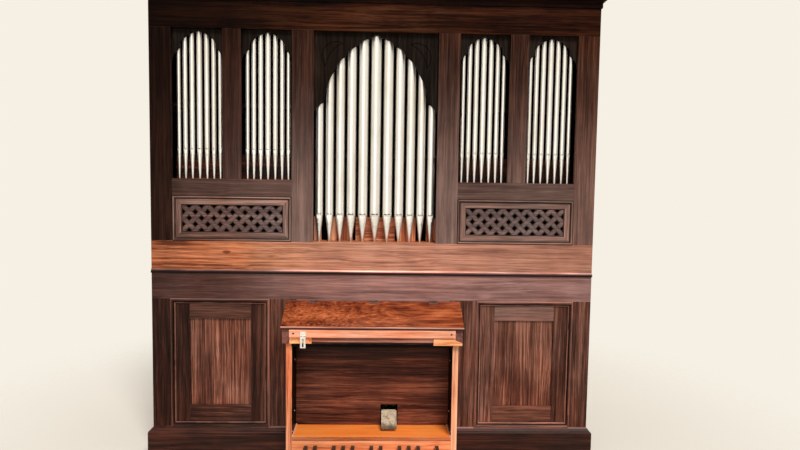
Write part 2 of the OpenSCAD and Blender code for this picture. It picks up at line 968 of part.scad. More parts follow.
// Lower boards of the kneeboard, on both sides of the swell pedal's hole
module kneeboard_foot() {
    color(rosewood) {
        block([-post_in, 0, shelf_z], [swell_x - slot_w / 2, knee_t, shelf_z + slot_h]);
        block([swell_x + slot_w / 2, 0, shelf_z], [post_in, knee_t, shelf_z + slot_h]);
    }
}

module toe_shelf() {
    color(shelf_orange) {
        block([-post_in, -shelf_d, shelf_z - shelf_t], [post_in, 0, shelf_z]);
        block(
            [-post_in, -shelf_d, pedal_rail_h + pedal_key_h + lip_gap],
            [post_in, -shelf_d + shelf_t, shelf_z]
        );
    }
}

module key_bed() {
    color(rosewood) block([-post_in, -desk_d, desk_z], [post_in, 0, desk_top]);
}

// Slip in front of the keys, between the two blocks beside them
key_block_in = 408;
key_slip_t = 12;
key_slip_h = 43;
module key_slip() {
    color(rosewood)
        block(
            [-key_block_in, -desk_d, desk_top],
            [key_block_in, -desk_d + key_slip_t, desk_top + key_slip_h]
        );
}

// Cheeks whose tops follow the lid
module desk_cheeks() {
    color(rosewood)
        both_sides()
            translate([cheek_span / 2 - cheek_t, 0, 0])
                rotate([90, 0, 90])
                    linear_extrude(cheek_t)
                        polygon([
                            [0, desk_top], [0, lid_under(lid_y)],
                            [-lid_y, lid_under(lid_y)],
                            [-desk_d, lid_under(desk_d)], [-desk_d, desk_top]
                        ]);
}

// Blocks beside the keys
nameboard_y = 80;
key_block_h = 42;
tongue_t = 12;
tongue_drop = 5;
tongue_end = 3;
tongue_shoulder = 10;
tongue_step = 2;
module key_blocks() {
    shoulder_x = cheek_span / 2 - cheek_t - tongue_shoulder;
    end_x = cheek_span / 2 - tongue_end;
    color(shelf_orange) {
        both_sides()
            block(
                [key_block_in, -desk_d, desk_top],
                [cheek_span / 2 - cheek_t, -nameboard_y, desk_top + key_block_h]
            );
        // Tongue of the right block, over the cheek's front
        translate([0, -desk_d, desk_top])
            rotate([90, 0, 0])
                linear_extrude(tongue_t)
                    polygon([
                        [key_block_in, -tongue_drop], [key_block_in, key_block_h - tongue_step],
                        [shoulder_x, key_block_h - tongue_step], [shoulder_x, key_block_h * 0.8],
                        [end_x, key_block_h * 0.28], [end_x, -tongue_drop]
                    ]);
    }
}

module nameboard() {
    color(rosewood)
        block(
            [-cheek_span / 2 + cheek_t, -nameboard_y, desk_top],
            [cheek_span / 2 - cheek_t, -nameboard_y + 14, lid_under(nameboard_y) - 4]
        );
}

// Which naturals have a sharp on their right, counted from C
function has_sharp(i) = let (step = i % 7) step != 2 && step != 6;

manual_left = -manual_naturals_n * key_pitch / 2;
key_front = nameboard_y + 1 + key_l;
sharp_w = 12;
sharp_l = 95;
sharp_slope = 6;
sharp_round = 5;
sharp_gap = 3;
module manual_naturals() {
    color(ivory)
        for (i = [0:manual_naturals_n - 1])
            difference() {
                block(
                    [manual_left + i * key_pitch + key_gap / 2, -key_front, desk_top],
                    [manual_left + (i + 1) * key_pitch - key_gap / 2, -nameboard_y - 1, desk_top + key_h]
                );
                for (side = [0, 1])
                    if (has_sharp(side == 0 ? i - 1 + 7 : i))
                        block(
                            [
                                manual_left + (i + side) * key_pitch - sharp_w / 2 - key_gap,
                                -nameboard_y - sharp_l, desk_top - eps
                            ],
                            [
                                manual_left + (i + side) * key_pitch + sharp_w / 2 + key_gap,
                                -nameboard_y, desk_top + key_h + eps
                            ]
                        );
            }
}

module manual_sharps() {
    end_y = sharp_gap - sharp_l;
    color(ebony)
        for (i = [0:manual_naturals_n - 2])
            if (has_sharp(i))
                translate([manual_left + (i + 1) * key_pitch - sharp_w / 2, -nameboard_y - 1, desk_top])
                    rotate([90, 0, 90])
                        linear_extrude(sharp_w)
                            polygon([
                                [0, 0], [0, key_h + sharp_h],
                                [end_y + sharp_slope + sharp_round, key_h + sharp_h],
                                [end_y + sharp_slope, key_h + sharp_h - 2], [end_y, key_h], [end_y, 0]
                            ]);
}

// Lid, hinged along its rear edge
hinge_lift = barrel_d / 2 + 1;
hinge_xs = [-420, 0, 420];
hinge_l = 60;
lid_l = (lid_reach - lid_y) / cos(lid_slope);

module lid_ledge() {
    color(rosewood)
        block(
            [-cheek_span / 2, -lid_y + 2, lid_under(lid_y)],
            [cheek_span / 2, 0, lid_z]
        );
}

// Butt hinges: the fixed leaves with the pins and outer barrels, and the flaps on the lid
knuckle_l = hinge_l / 3;
module lid_hinge_leaves() {
    color(steel)
        for (x = hinge_xs)
            translate([x, -lid_y, lid_z]) {
                block([-hinge_l / 2, 3, 0], [hinge_l / 2, lid_y - 2, 1.5]);
                translate([-hinge_l / 2, 0, hinge_lift])
                    rotate([0, 90, 0]) cylinder(d = pin_d, h = hinge_l);
                for (side = [-1, 1])
                    translate([side * knuckle_l, 0, 0]) {
                        translate([-knuckle_l / 2 + 0.5, 0, hinge_lift])
                            rotate([0, 90, 0]) cylinder(d = barrel_d, h = knuckle_l - 1);
                        block([-knuckle_l / 2 + 0.5, 0, 1], [knuckle_l / 2 - 0.5, 4, 4]);
                    }
            }
}

module lid_hinge_flaps() {
    color(steel)
        for (x = hinge_xs)
            translate([x, -lid_y, lid_z])
                difference() {
                    union() {
                        rotate([lid_slope, 0, 0]) {
                            block([-hinge_l / 2, -26, 0], [hinge_l / 2, -3, 1.5]);
                            block([-knuckle_l / 2 + 0.5, -6, 0], [knuckle_l / 2 - 0.5, 0, 3.5]);
                        }
                        translate([-knuckle_l / 2 + 0.5, 0, hinge_lift])
                            rotate([0, 90, 0]) cylinder(d = barrel_d, h = knuckle_l - 1);
                    }
                    translate([-knuckle_l, 0, hinge_lift])
                        rotate([0, 90, 0]) cylinder(d = pin_d + 2 * pin_clear, h = 2 * knuckle_l);
                }
}

// Section of the lid in its own slope, from the hinged edge forward
module lid_board() {
    color(lid_orange)
        intersection() {
            translate([-lid_w / 2, -lid_y, lid_z])
                rotate([lid_slope, 0, 0])
                    union() {
                        translate([0, -lid_l + lid_t / 2, -lid_t]) cube([lid_w, lid_l + lid_t, lid_t]);
                        translate([0, -lid_l + lid_t / 2, -lid_t / 2])
                            rotate([0, 90, 0]) cylinder(d = lid_t, h = lid_w);
                    }
            block([-lid_w, -lid_reach * 2, 0], [lid_w, -lid_y, 2 * lid_z]);
        }
}

lid_rail_y = desk_d + 2;
module lid_rail() {
    rail_top = lid_under(lid_rail_y + lid_rail_t) + lid_clear;
    color(post_orange)
        difference() {
            block(
                [-cheek_span / 2 + cheek_t, -lid_rail_y - lid_rail_t, rail_top - lid_rail_h],
                [cheek_span / 2 - cheek_t, -lid_rail_y, rail_top + lid_t]
            );
            translate([-lid_w / 2, -lid_y, lid_z])
                rotate([lid_slope, 0, 0])
                    translate([0, -2 * lid_l, -lid_t]) cube([lid_w, 3 * lid_l, 2 * lid_t]);
        }
}

// Hasp: a plate on the lid's rail, and a slotted strap that swings from it
hasp_y = lid_rail_y + lid_rail_t;
hasp_top = lid_under(hasp_y) + lid_clear - 8;
hasp_axis_z = hasp_top - 26;
hasp_axis_y = hasp_y + 4.5;
hasp_pin_d = 3;
hasp_barrel_d = 8;
hasp_knuckle = hasp_w / 3;
module hasp_plate() {
    color(steel)
        translate([-hasp_x, 0, 0]) {
            block([-hasp_w / 2, -hasp_y - hasp_t, hasp_axis_z + 5], [hasp_w / 2, -hasp_y, hasp_top]);
            translate([-hasp_w / 2, -hasp_axis_y, hasp_axis_z])
                rotate([0, 90, 0]) cylinder(d = hasp_pin_d, h = hasp_w);
            for (side = [-1, 1])
                translate([side * hasp_knuckle, 0, 0]) {
                    translate([-hasp_knuckle / 2 + 0.25, -hasp_axis_y, hasp_axis_z])
                        rotate([0, 90, 0]) cylinder(d = hasp_barrel_d, h = hasp_knuckle - 0.5);
                    block(
                        [-hasp_knuckle / 2 + 0.25, -hasp_axis_y, hasp_axis_z],
                        [hasp_knuckle / 2 - 0.25, -hasp_y, hasp_axis_z + 6]
                    );
                }
        }
}

slot_low = hasp_axis_z - hasp_l + 7;
slot_top = hasp_axis_z - 22;
slot_half = 5;
module hasp_strap() {
    front = -hasp_axis_y - hasp_barrel_d / 2;
    color(steel)
        translate([-hasp_x, 0, 0])
            difference() {
                union() {
                    translate([-hasp_knuckle / 2 + 0.25, -hasp_axis_y, hasp_axis_z])
                        rotate([0, 90, 0]) cylinder(d = hasp_barrel_d, h = hasp_knuckle - 0.5);
                    block(
                        [-hasp_knuckle / 2 + 0.25, front, hasp_axis_z - 8],
                        [hasp_knuckle / 2 - 0.25, front + hasp_t, hasp_axis_z]
                    );
                    block(
                        [-hasp_w / 2, front, hasp_axis_z - hasp_l],
                        [hasp_w / 2, front + hasp_t, hasp_axis_z - 6]
                    );
                }
                translate([-hasp_knuckle, -hasp_axis_y, hasp_axis_z])
                    rotate([0, 90, 0]) cylinder(d = hasp_pin_d + 2 * pin_clear, h = 2 * hasp_knuckle);
                block([-slot_half, front - eps, slot_low], [slot_half, front + hasp_t + eps, slot_top]);
            }
}

// Staple on the left key block, through the strap's slot
staple_d = 5;
staple_h = 18;
module hasp_staple() {
    reach = hasp_axis_y + hasp_barrel_d / 2 + 7;
    top = slot_top - 7;
    color(steel)
        translate([-hasp_x, 0, 0]) {
            for (z = [top - staple_h + staple_d / 2, top - staple_d / 2])
                translate([0, -desk_d, z])
                    rotate([90, 0, 0]) cylinder(d = staple_d, h = reach - desk_d);
            translate([0, -reach + staple_d / 2, top - staple_h]) cylinder(d = staple_d, h = staple_h);
        }
}

// Swell pedal on a stand, before the kneeboard's hole: the stand and the shaft through its top
swell_axis_y = -50;
swell_axis_h = 48;
shaft_d = 10;
hub_d = 20;
lug_w = 14;
lug_gap = 2;
foot_t = 6;
foot_d = 44;
module at_swell() {
    translate([swell_x, swell_axis_y, shelf_z + swell_axis_h]) children();
}

// Round bar across the pedal
module cross_bar(d, w) {
    translate([-w / 2, 0, 0]) rotate([0, 90, 0]) cylinder(d = d, h = w);
}

module swell_stand() {
    stand_w = swell_w - 2 * (lug_w + lug_gap);
    color(steel)
        at_swell() {
            cross_bar(hub_d, stand_w);
            block([-stand_w / 2, -hub_d / 2, -swell_axis_h], [stand_w / 2, hub_d / 2, 0]);
            block(
                [-stand_w / 2, -foot_d / 2, -swell_axis_h],
                [stand_w / 2, foot_d / 2, foot_t - swell_axis_h]
            );
            cross_bar(shaft_d, swell_w);
        }
}

// Plate with rounded corners, ribbed across its tread
swell_corner_r = 14;
swell_rib_h = 3;
swell_rib_w = 5;
swell_ribs_n = 7;
module swell_outline() {
    square([swell_w - 2 * swell_corner_r, swell_l], center = true);
    square([swell_w, swell_l - 2 * swell_corner_r], center = true);
    for (x = [-1, 1])
        for (y = [-1, 1])
            translate([x * (swell_w / 2 - swell_corner_r), y * (swell_l / 2 - swell_corner_r)])
                circle(r = swell_corner_r);
}

plate_lift = hub_d / 2 + 5;
module swell_pedal() {
    rib_step = (swell_l - 2 * swell_corner_r) / (swell_ribs_n - 1);
    color(steel)
        at_swell()
            rotate([swell_slope, 0, 0])
                translate([0, 0, plate_lift]) {
                    linear_extrude(swell_t) swell_outline();
                    for (i = [0:swell_ribs_n - 1])
                        translate([0, (i - (swell_ribs_n - 1) / 2) * rib_step, swell_t])
                            block(
                                [-swell_w / 2 + swell_corner_r, -swell_rib_w / 2, -eps],
                                [swell_w / 2 - swell_corner_r, swell_rib_w / 2, swell_rib_h]
                            );
                }
}

// Lugs under the plate's sides, bored for the shaft
module swell_lugs() {
    color(steel)
        at_swell()
            rotate([swell_slope, 0, 0])
                for (side = [-1, 1])
                    translate([side * (swell_w - lug_w) / 2, 0, 0])
                        difference() {
                            union() {
                                cross_bar(hub_d, lug_w);
                                block([-lug_w / 2, -hub_d / 2, 0], [lug_w / 2, hub_d / 2, plate_lift]);
                            }
                            cross_bar(shaft_d + 2 * pin_clear, swell_w);
                        }
}

// Metal pieces that stay with the case: the hinges' leaves, the staple and the pedal's stand
module console_fittings() {
    lid_hinge_leaves();
    hasp_staple();
    swell_stand();
}

// Metal pieces on the lid
module lid_fittings() {
    lid_hinge_flaps();
    hasp_plate();
}

// Pedalboard
pedal_left = -pedal_naturals_n * pedal_pitch / 2;
pedal_back = 40;
pedal_sharp_gap = 6;
pedal_sharp_drop = 10;
pedal_key_z = pedal_rail_h;
module pedal_cheeks() {
    color(rosewood)
        both_sides()
            block(
                [-pedal_left, -pedal_back - pedal_l, 0],
                [post_in, -pedal_back, pedal_rail_h + pedal_key_h]
            );
}

module pedal_rails() {
    color(rosewood)
        for (y = [-pedal_back, -pedal_back - pedal_l + pedal_board_t])
            block([pedal_left, y - pedal_board_t, 0], [-pedal_left, y, pedal_rail_h]);
}

// Side view of a natural pedal key, from its rear end forward: rounded over at the front
module pedal_key_section(h) {
    nose = h * 0.4;
    polygon(concat(
        [[0, 0], [0, h], [-pedal_l + nose, h]],
        arc(-pedal_l + nose, h - nose, nose, 90, 180, 5),
        [[-pedal_l, 0]]
    ));
}

module pedal_key(h) {
    translate([-pedal_key_w / 2, -pedal_back, pedal_key_z])
        rotate([90, 0, 90])
            linear_extrude(pedal_key_w) pedal_key_section(h);
}

module pedal_naturals() {
    color(waist_brown)
        for (i = [0:pedal_naturals_n - 1])
            translate([pedal_left + (i + 0.5) * pedal_pitch, 0, 0]) pedal_key(pedal_key_h);
}

module at_pedal_sharps() {
    for (i = [0:pedal_naturals_n - 2])
        if (has_sharp(i))
            translate([pedal_left + (i + 1) * pedal_pitch, 0, 0]) children();
}

// Keys that carry the sharps
module pedal_sharp_keys() {
    color(waist_brown) at_pedal_sharps() pedal_key(pedal_key_h - pedal_sharp_drop);
}

// Caps of the sharps, rounded over at both ends
module pedal_sharps() {
    h = pedal_sharp_h + pedal_sharp_drop;
    round_r = h * 0.3;
    color(ebony)
        at_pedal_sharps()
            translate([
                -pedal_key_w / 2, -shelf_d - pedal_sharp_gap, pedal_key_z + pedal_key_h - pedal_sharp_drop
            ])
                rotate([90, 0, 90])
                    linear_extrude(pedal_key_w)
                        polygon(concat(
                            [[0, 0]],
                            arc(-round_r, h - round_r, round_r, 0, 90, 5),
                            arc(-pedal_sharp_l + round_r, h * 0.86 - round_r, round_r, 90, 180, 5),
                            [[-pedal_sharp_l, 0]]
                        ));
}

plinth_front();
plinth_ends();
lower_rails();
lower_stiles();
console_back();
panel_moulding_stiles();
panel_moulding_rails();
panel_frame_stiles();
panel_frame_rails();
panel_boards();
waist_moulding();
waist_rail();
upper_stiles();
side_sill_rails();
frieze();
cornice();
end_mouldings();
roof();
side_stiles();
back_stiles();
case_rails();
case_panels();
arch_panel_centre();
arch_panels_side();
grille_frame_stiles();
grille_frame_rails();
grille_left();
grille_right();
pipes_centre();
pipes_left();
pipes_right();
toe_boards();
wind_chest_centre();
wind_chest_sides();
pipe_racks();
rack_arms();
console_posts();
kneeboard();
kneeboard_foot();
toe_shelf();
key_bed();
key_slip();
desk_cheeks();
key_blocks();
nameboard();
manual_naturals();
manual_sharps();
lid_ledge();
console_fittings();
lid_board();
lid_rail();
lid_fittings();
hasp_strap();
swell_pedal();
swell_lugs();
pedal_cheeks();
pedal_rails();
pedal_naturals();
pedal_sharp_keys();
pedal_sharps();
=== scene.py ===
"""Finishes for a chamber pipe organ.

The frame's nodes are given softened edges, grain that follows each board, polished woods, white
pipe metal, keys and fittings. Screws and pipe seams are added with Geometry Nodes. Run it as a
script: it registers its operators, calls them in order and finishes the frame.
"""

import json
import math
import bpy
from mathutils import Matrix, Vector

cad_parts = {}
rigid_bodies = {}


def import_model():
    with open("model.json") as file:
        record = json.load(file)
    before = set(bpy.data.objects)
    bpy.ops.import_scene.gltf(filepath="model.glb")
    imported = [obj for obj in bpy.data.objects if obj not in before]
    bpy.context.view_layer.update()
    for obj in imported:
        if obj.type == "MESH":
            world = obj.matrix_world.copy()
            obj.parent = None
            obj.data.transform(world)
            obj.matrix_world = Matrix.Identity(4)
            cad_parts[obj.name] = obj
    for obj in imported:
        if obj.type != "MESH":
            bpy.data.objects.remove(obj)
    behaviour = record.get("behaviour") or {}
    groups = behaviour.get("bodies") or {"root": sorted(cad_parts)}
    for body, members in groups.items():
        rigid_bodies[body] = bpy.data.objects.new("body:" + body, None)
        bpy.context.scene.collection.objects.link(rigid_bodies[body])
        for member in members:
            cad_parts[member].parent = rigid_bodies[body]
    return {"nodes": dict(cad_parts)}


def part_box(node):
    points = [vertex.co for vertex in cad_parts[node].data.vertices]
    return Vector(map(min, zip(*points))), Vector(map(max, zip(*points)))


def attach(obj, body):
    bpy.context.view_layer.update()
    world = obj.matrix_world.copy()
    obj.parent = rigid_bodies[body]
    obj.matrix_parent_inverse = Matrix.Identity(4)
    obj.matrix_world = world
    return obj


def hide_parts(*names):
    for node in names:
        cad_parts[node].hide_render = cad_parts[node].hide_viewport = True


bl_info = {
    "name": "Pipe organ finishes",
    "version": (1, 0, 0),
    "blender": (4, 5, 0),
    "location": "View3D > Sidebar > Organ",
    "description": "Gives a chamber pipe organ its woods, metals, screws and light",
    "category": "Object",
}

import bmesh
import bpy
from mathutils import Matrix, Vector

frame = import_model()
NODES = frame["nodes"]
BODY_OF = {node: obj.parent.name.split(":", 1)[1] for node, obj in NODES.items()}
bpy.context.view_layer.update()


def box(node):
    """Lowest and highest corner of a frame node."""
    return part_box(node)


# ------------------ colours

def linear(red, green, blue):
    """A colour given in 0 to 255, as Blender's linear numbers."""
    def one(value):
        value /= 255
        return value / 12.92 if value <= 0.04045 else ((value + 0.055) / 1.055) ** 2.4
    return (one(red), one(green), one(blue))


def times(tone, factor, lift=0.0):
    """A colour made lighter or darker."""
    return tuple(c * factor + lift for c in tone)


def lit(tone, factor, lift=0.0):
    """A colour made lighter, up to white."""
    return tuple(min(c, 1) for c in times(tone, factor, lift))


def colour(name, red, green, blue):
    """A colour property with its default given in 0 to 255."""
    return bpy.props.FloatVectorProperty(
        name=name, description=f"Colour of the {name.lower()}", subtype="COLOR",
        size=3, min=0, max=1, default=linear(red, green, blue),
    )


def number(name, description, default, low, high, **kind):
    """A number property."""
    return bpy.props.FloatProperty(
        name=name, description=description, default=default, min=low, max=high, **kind,
    )


def length(*values):
    """A length property in metres."""
    return number(*values, unit="LENGTH", subtype="DISTANCE", precision=4)


def share(name, description, default):
    """A property between 0 and 1."""
    return number(name, description, default, 0, 1, subtype="FACTOR")


TONES = ("dark", "mid", "light")
PAINTED_SHADE_TONES = (0.6, 1.0, 1.5)    # of the one colour of painted shade, put on faces that lie in shade

# Each kind of wood: what it is on, then its dark, middle and light tone in 0 to 255
WOODS = {
    "upper": ("Upper frame", (38, 15, 6), (66, 36, 23), (96, 60, 44)),
    "crown": ("Frieze and cornice", (14, 3, 1), (40, 16, 6), (64, 34, 18)),
    "grille": ("Grilles", (66, 41, 32), (98, 68, 57), (140, 104, 90)),
    "foil": ("Foiled panels", (14, 9, 6), (27, 19, 14), (44, 34, 28)),
    "lower": ("Lower frame", (38, 18, 12), (64, 36, 27), (100, 62, 49)),
    "waist": ("Waist rail", (132, 68, 38), (178, 104, 66), (208, 134, 94)),
    "top": ("Top rail", (98, 60, 50), (136, 92, 82), (172, 124, 112)),
    "panel": ("Panels", (62, 31, 22), (108, 63, 48), (158, 104, 84)),
    "plinth": ("Plinth", (36, 17, 12), (58, 31, 23), (84, 46, 34)),
    "chest": ("Middle wind chest", (158, 82, 52), (224, 144, 104), (250, 192, 152)),
    "side_chest": ("Side wind chests", (14, 4, 3), (44, 15, 8), (98, 42, 22)),
    "knee": ("Kneeboard", (44, 18, 10), (88, 45, 32), (146, 84, 60)),
    "post": ("Posts", (182, 96, 62), (232, 142, 98), (250, 178, 138)),
    "shelf": ("Toe shelf", (250, 114, 38), (255, 137, 55), (255, 152, 74)),
    "lip": ("Toe shelf's front", (206, 104, 56), (236, 142, 94), (252, 170, 122)),
    "cleat": ("Toe shelf's cleats", (222, 150, 118), (244, 186, 156), (252, 214, 190)),
    "block": ("Key blocks", (206, 108, 58), (238, 154, 102), (255, 190, 134)),
    "slip": ("Key slip", (100, 54, 40), (146, 88, 70), (182, 122, 102)),
    "cheek": ("Desk cheeks", (88, 51, 44), (116, 71, 62), (134, 88, 78)),
    "burl": ("Lid", (82, 26, 8), (142, 64, 30), (190, 104, 62)),
    # The lid's front edge is a painted highlight
    "nosing": ("Lid's front edge", (164, 108, 90), (206, 150, 130), (236, 186, 166)),
    "under": ("Lid's underside", (40, 16, 10), (74, 34, 22), (110, 58, 42)),
    "lid_rail": ("Lid's rail", (208, 120, 86), (232, 148, 112), (250, 180, 148)),
    "pedal": ("Pedals", (196, 112, 70), (232, 152, 106), (250, 190, 150)),
}


class OrganWoods(bpy.types.PropertyGroup):
    """Colours of the woods: each kind has a dark, a middle and a light tone."""
    # Painted shade: the dark colour put on faces that lie in shade, in the case and the console
    inside: colour("Painted shade", 14, 7, 5)


for kind, (label, *palette) in WOODS.items():
    for step, tone in zip(TONES, palette):
        OrganWoods.__annotations__[f"{kind}_{step}"] = colour(f"{label}, {step} tone", *tone)


class OrganPipes(bpy.types.PropertyGroup):
    """Finish of the pipes."""
    metal: colour("Pipe metal", 234, 230, 224)
    stain: colour("Stains on the pipe metal", 200, 191, 177)
    metal_share: share("Metallic", "How far the pipes mirror their surroundings", 0.92)
    seam_size: number(
        "Seam size", "Thickness of a seam's wire over its pipe's radius", 0.022, 0.01, 0.05,
    )


class OrganFittings(bpy.types.PropertyGroup):
    """Sizes and colours of the metal fittings."""
    steel: colour("Steel", 232, 228, 220)
    bronze: colour("Hinges", 116, 78, 66)
    cast: colour("Swell pedal", 206, 186, 160)
    screw_d: length("Screw head", "Diameter of a screw's head", 0.011, 0.004, 0.014)
    screw_slot: share("Screw slot", "Width of a screw's slot over its radius", 0.2)
    cleat_w: length("Cleat width", "Width of the toe shelf's cleats", 0.008, 0.004, 0.02)
    softening: length("Softened edge", "Radius of the case's edges", 0.0016, 0.0005, 0.003)


class OrganStage(bpy.types.PropertyGroup):
    """Floor, background and light."""
    floor: colour("Floor", 236, 230, 219)
    floor_reach: length("Floor's reach", "How far off the floor fades away", 2.6, 1, 20)
    backdrop: colour("Backdrop", 246, 240, 228)
    sky: number("Sky", "Strength of the light from all round", 0.36, 0, 2)
    key: number("Key light", "Strength of the far, soft light", 2.8, 0, 10)
    fill: number("Fill lamp", "Power of the large lamp in front", 60, 0, 1000, unit="POWER")


# ------------------ node trees

class Link:
    """A socket of a tree, wrapped so that sums on it add Math nodes."""

    def __init__(self, tree, socket):
        self.tree = tree
        self.socket = socket

    def out(self, name):
        """Another output of the same node."""
        return Link(self.tree, self.socket.node.outputs[name])

    def maths(self, operation, *values, clamp=False):
        settings = {"operation": operation, "use_clamp": clamp}
        return self.tree.node("ShaderNodeMath", settings, dict(enumerate(values)))

    __add__ = __radd__ = lambda self, other: self.maths("ADD", self, other)
    __mul__ = __rmul__ = lambda self, other: self.maths("MULTIPLY", self, other)
    __truediv__ = lambda self, other: self.maths("DIVIDE", self, other)
    __sub__ = lambda self, other: self.maths("SUBTRACT", self, other)
    __rsub__ = lambda self, other: self.maths("SUBTRACT", other, self)
    __abs__ = lambda self: self.maths("ABSOLUTE", self)

    def smaller(self, other):
        return self.maths("MINIMUM", self, other)

    def clamp(self):
        return self.maths("ADD", self, 0, clamp=True)

    def power(self, exponent):
        return self.maths("POWER", self, exponent)

    def span(self, start, end, low=0.0, high=1.0):
        """This value carried smoothly from start..end to low..high."""
        return self.tree.node(
            "ShaderNodeMapRange", {"interpolation_type": "SMOOTHSTEP", "clamp": True},
            {"Value": self, "From Min": start, "From Max": end, "To Min": low, "To Max": high},
        )


class Tree:
    """A node tree with one method that makes any node."""

    def __init__(self, tree):
        self.tree = tree
        tree.nodes.clear()

    def put(self, socket, value):
        if isinstance(value, Link):
            self.tree.links.new(value.socket, socket)
        else:
            socket.default_value = value

    def node(self, kind, settings=None, sockets=None, out=0):
        """Adds a node: its settings first, then its sockets' values or links."""
        made = self.tree.nodes.new(kind)
        for name, value in (settings or {}).items():
            setattr(made, name, value)
        for name, value in (sockets or {}).items():
            self.put(made.inputs[name], value)
        return Link(self, made.outputs[out]) if len(made.outputs) else made

    def xyz(self, x, y, z):
        return self.node("ShaderNodeCombineXYZ", None, {"X": x, "Y": y, "Z": z})

    def axes(self, vector):
        parts = self.node("ShaderNodeSeparateXYZ", None, {"Vector": vector})
        return parts, parts.out("Y"), parts.out("Z")

    def noise(self, place, scale=1.0, detail=2.0, rough=0.5, warp=0.0):
        return self.node("ShaderNodeTexNoise", {"noise_dimensions": "3D"}, {
            "Vector": place, "Scale": scale, "Detail": detail, "Roughness": rough,
            "Distortion": warp,
        })

    def ramp(self, value, stops):
        """A colour by a value, from its (value, colour) stops."""
        made = self.node("ShaderNodeValToRGB", None, {"Fac": value})
        elements = made.socket.node.color_ramp.elements
        while len(elements) < len(stops):
            elements.new(0.5)
        for element, (at, tone) in zip(elements, stops):
            element.position = at
            element.color = (*tone, 1)
        return made

    def mix(self, share_of_b, a, b, blend="MIX"):
        """Two colours mixed. Plain tuples are colours too."""
        made = self.tree.nodes.new("ShaderNodeMix")
        made.data_type = "RGBA"
        made.blend_type = blend
        self.put(made.inputs[0], share_of_b)
        for index, tone in ((6, a), (7, b)):
            self.put(made.inputs[index], tone if isinstance(tone, Link) else (*tone, 1))
        return Link(self, made.outputs[2])


# Shade turns wood ruddier: its red, green and blue fall by these powers
RUDDY = (1.0, 1.1, 1.16)


class Finish(Tree):
    """A material under construction."""

    def __init__(self, name):
        self.material = bpy.data.materials.new(name)
        self.material.use_nodes = True
        super().__init__(self.material.node_tree)

    def place(self):
        """Place on the object, in metres."""
        return self.node("ShaderNodeTexCoord", None, None, "Object")

    def attribute(self, name, output="Fac"):
        return self.node("ShaderNodeAttribute", {"attribute_name": name}, None, output)

    def over_case(self, profiles):
        """The product of profiles over the case, each an axis and its values by place."""
        parts = dict(zip("XYZ", self.axes(self.place())))
        product = None
        for axis, stops in profiles.items():
            low, high = min(stops), max(stops)
            fall = self.ramp((parts[axis] - low) / (high - low), [
                ((at - low) / (high - low), tuple(value ** power for power in RUDDY))
                for at, value in stops.items()
            ])
            product = fall if product is None else self.mix(1.0, product, fall, "MULTIPLY")
        return product

    def bump(self, height, depth, strength=1.0):
        return self.node("ShaderNodeBump", None, {
            "Height": height, "Distance": depth, "Strength": strength,
        })

    def surface(self, **sockets):
        """Ends the material in a Principled shader. Underscores stand for spaces."""
        values = {name.replace("_", " "): value for name, value in sockets.items()}
        shader = self.node("ShaderNodeBsdfPrincipled", None, values)
        self.node("ShaderNodeOutputMaterial", None, {"Surface": shader})
        return self.material


# ------------------ pieces

# Marks on the mesh: the grain's place and a board's own number on the vertices, and the
# softened edges on the faces
GRAIN = "grain"
BOARD = "board"
EDGE = "edge"

FLAT_ANGLE = math.radians(0.5)     # faces that turn less are joined into one
SOFT_ANGLE = math.radians(28)      # edges that turn more are softened
SHADE_ANGLE = math.radians(50)     # edges that turn less are shaded round
GRAIN_SHIFT = (13.1, 7.7, 3.3)     # how far apart in the grain two boards can lie


def new_object(name, data):
    """An object in the scene."""
    obj = bpy.data.objects.new(name, data)
    bpy.context.scene.collection.objects.link(obj)
    return obj


def corner_of(place):
    """A corner's place, rounded so that the corners of neighbouring faces are one."""
    return tuple(round(c, 6) for c in place)


def chance_of(index, low):
    """A fixed number from 0 to 1 for a board, by its index and its lowest corner."""
    return math.modf(math.sin((index + 1) * 12.9898 + sum(low) * 3.7) * 43758.5)[0] % 1.0


def whole_boards(bm):
    """The mesh's separate solids, as lists of its vertices."""
    bm.verts.ensure_lookup_table()
    seen = set()
    boards = []
    for start in bm.verts:
        if start.index in seen:
            continue
        seen.add(start.index)
        board, queue = [], [start]
        while queue:
            vert = queue.pop()
            board.append(vert)
            for edge in vert.link_edges:
                other = edge.other_vert(vert)
                if other.index not in seen:
                    seen.add(other.index)
                    queue.append(other)
        boards.append(board)
    boards.sort(key=lambda b: tuple(round(min(v.co[i] for v in b), 4) for i in range(3)))
    return boards


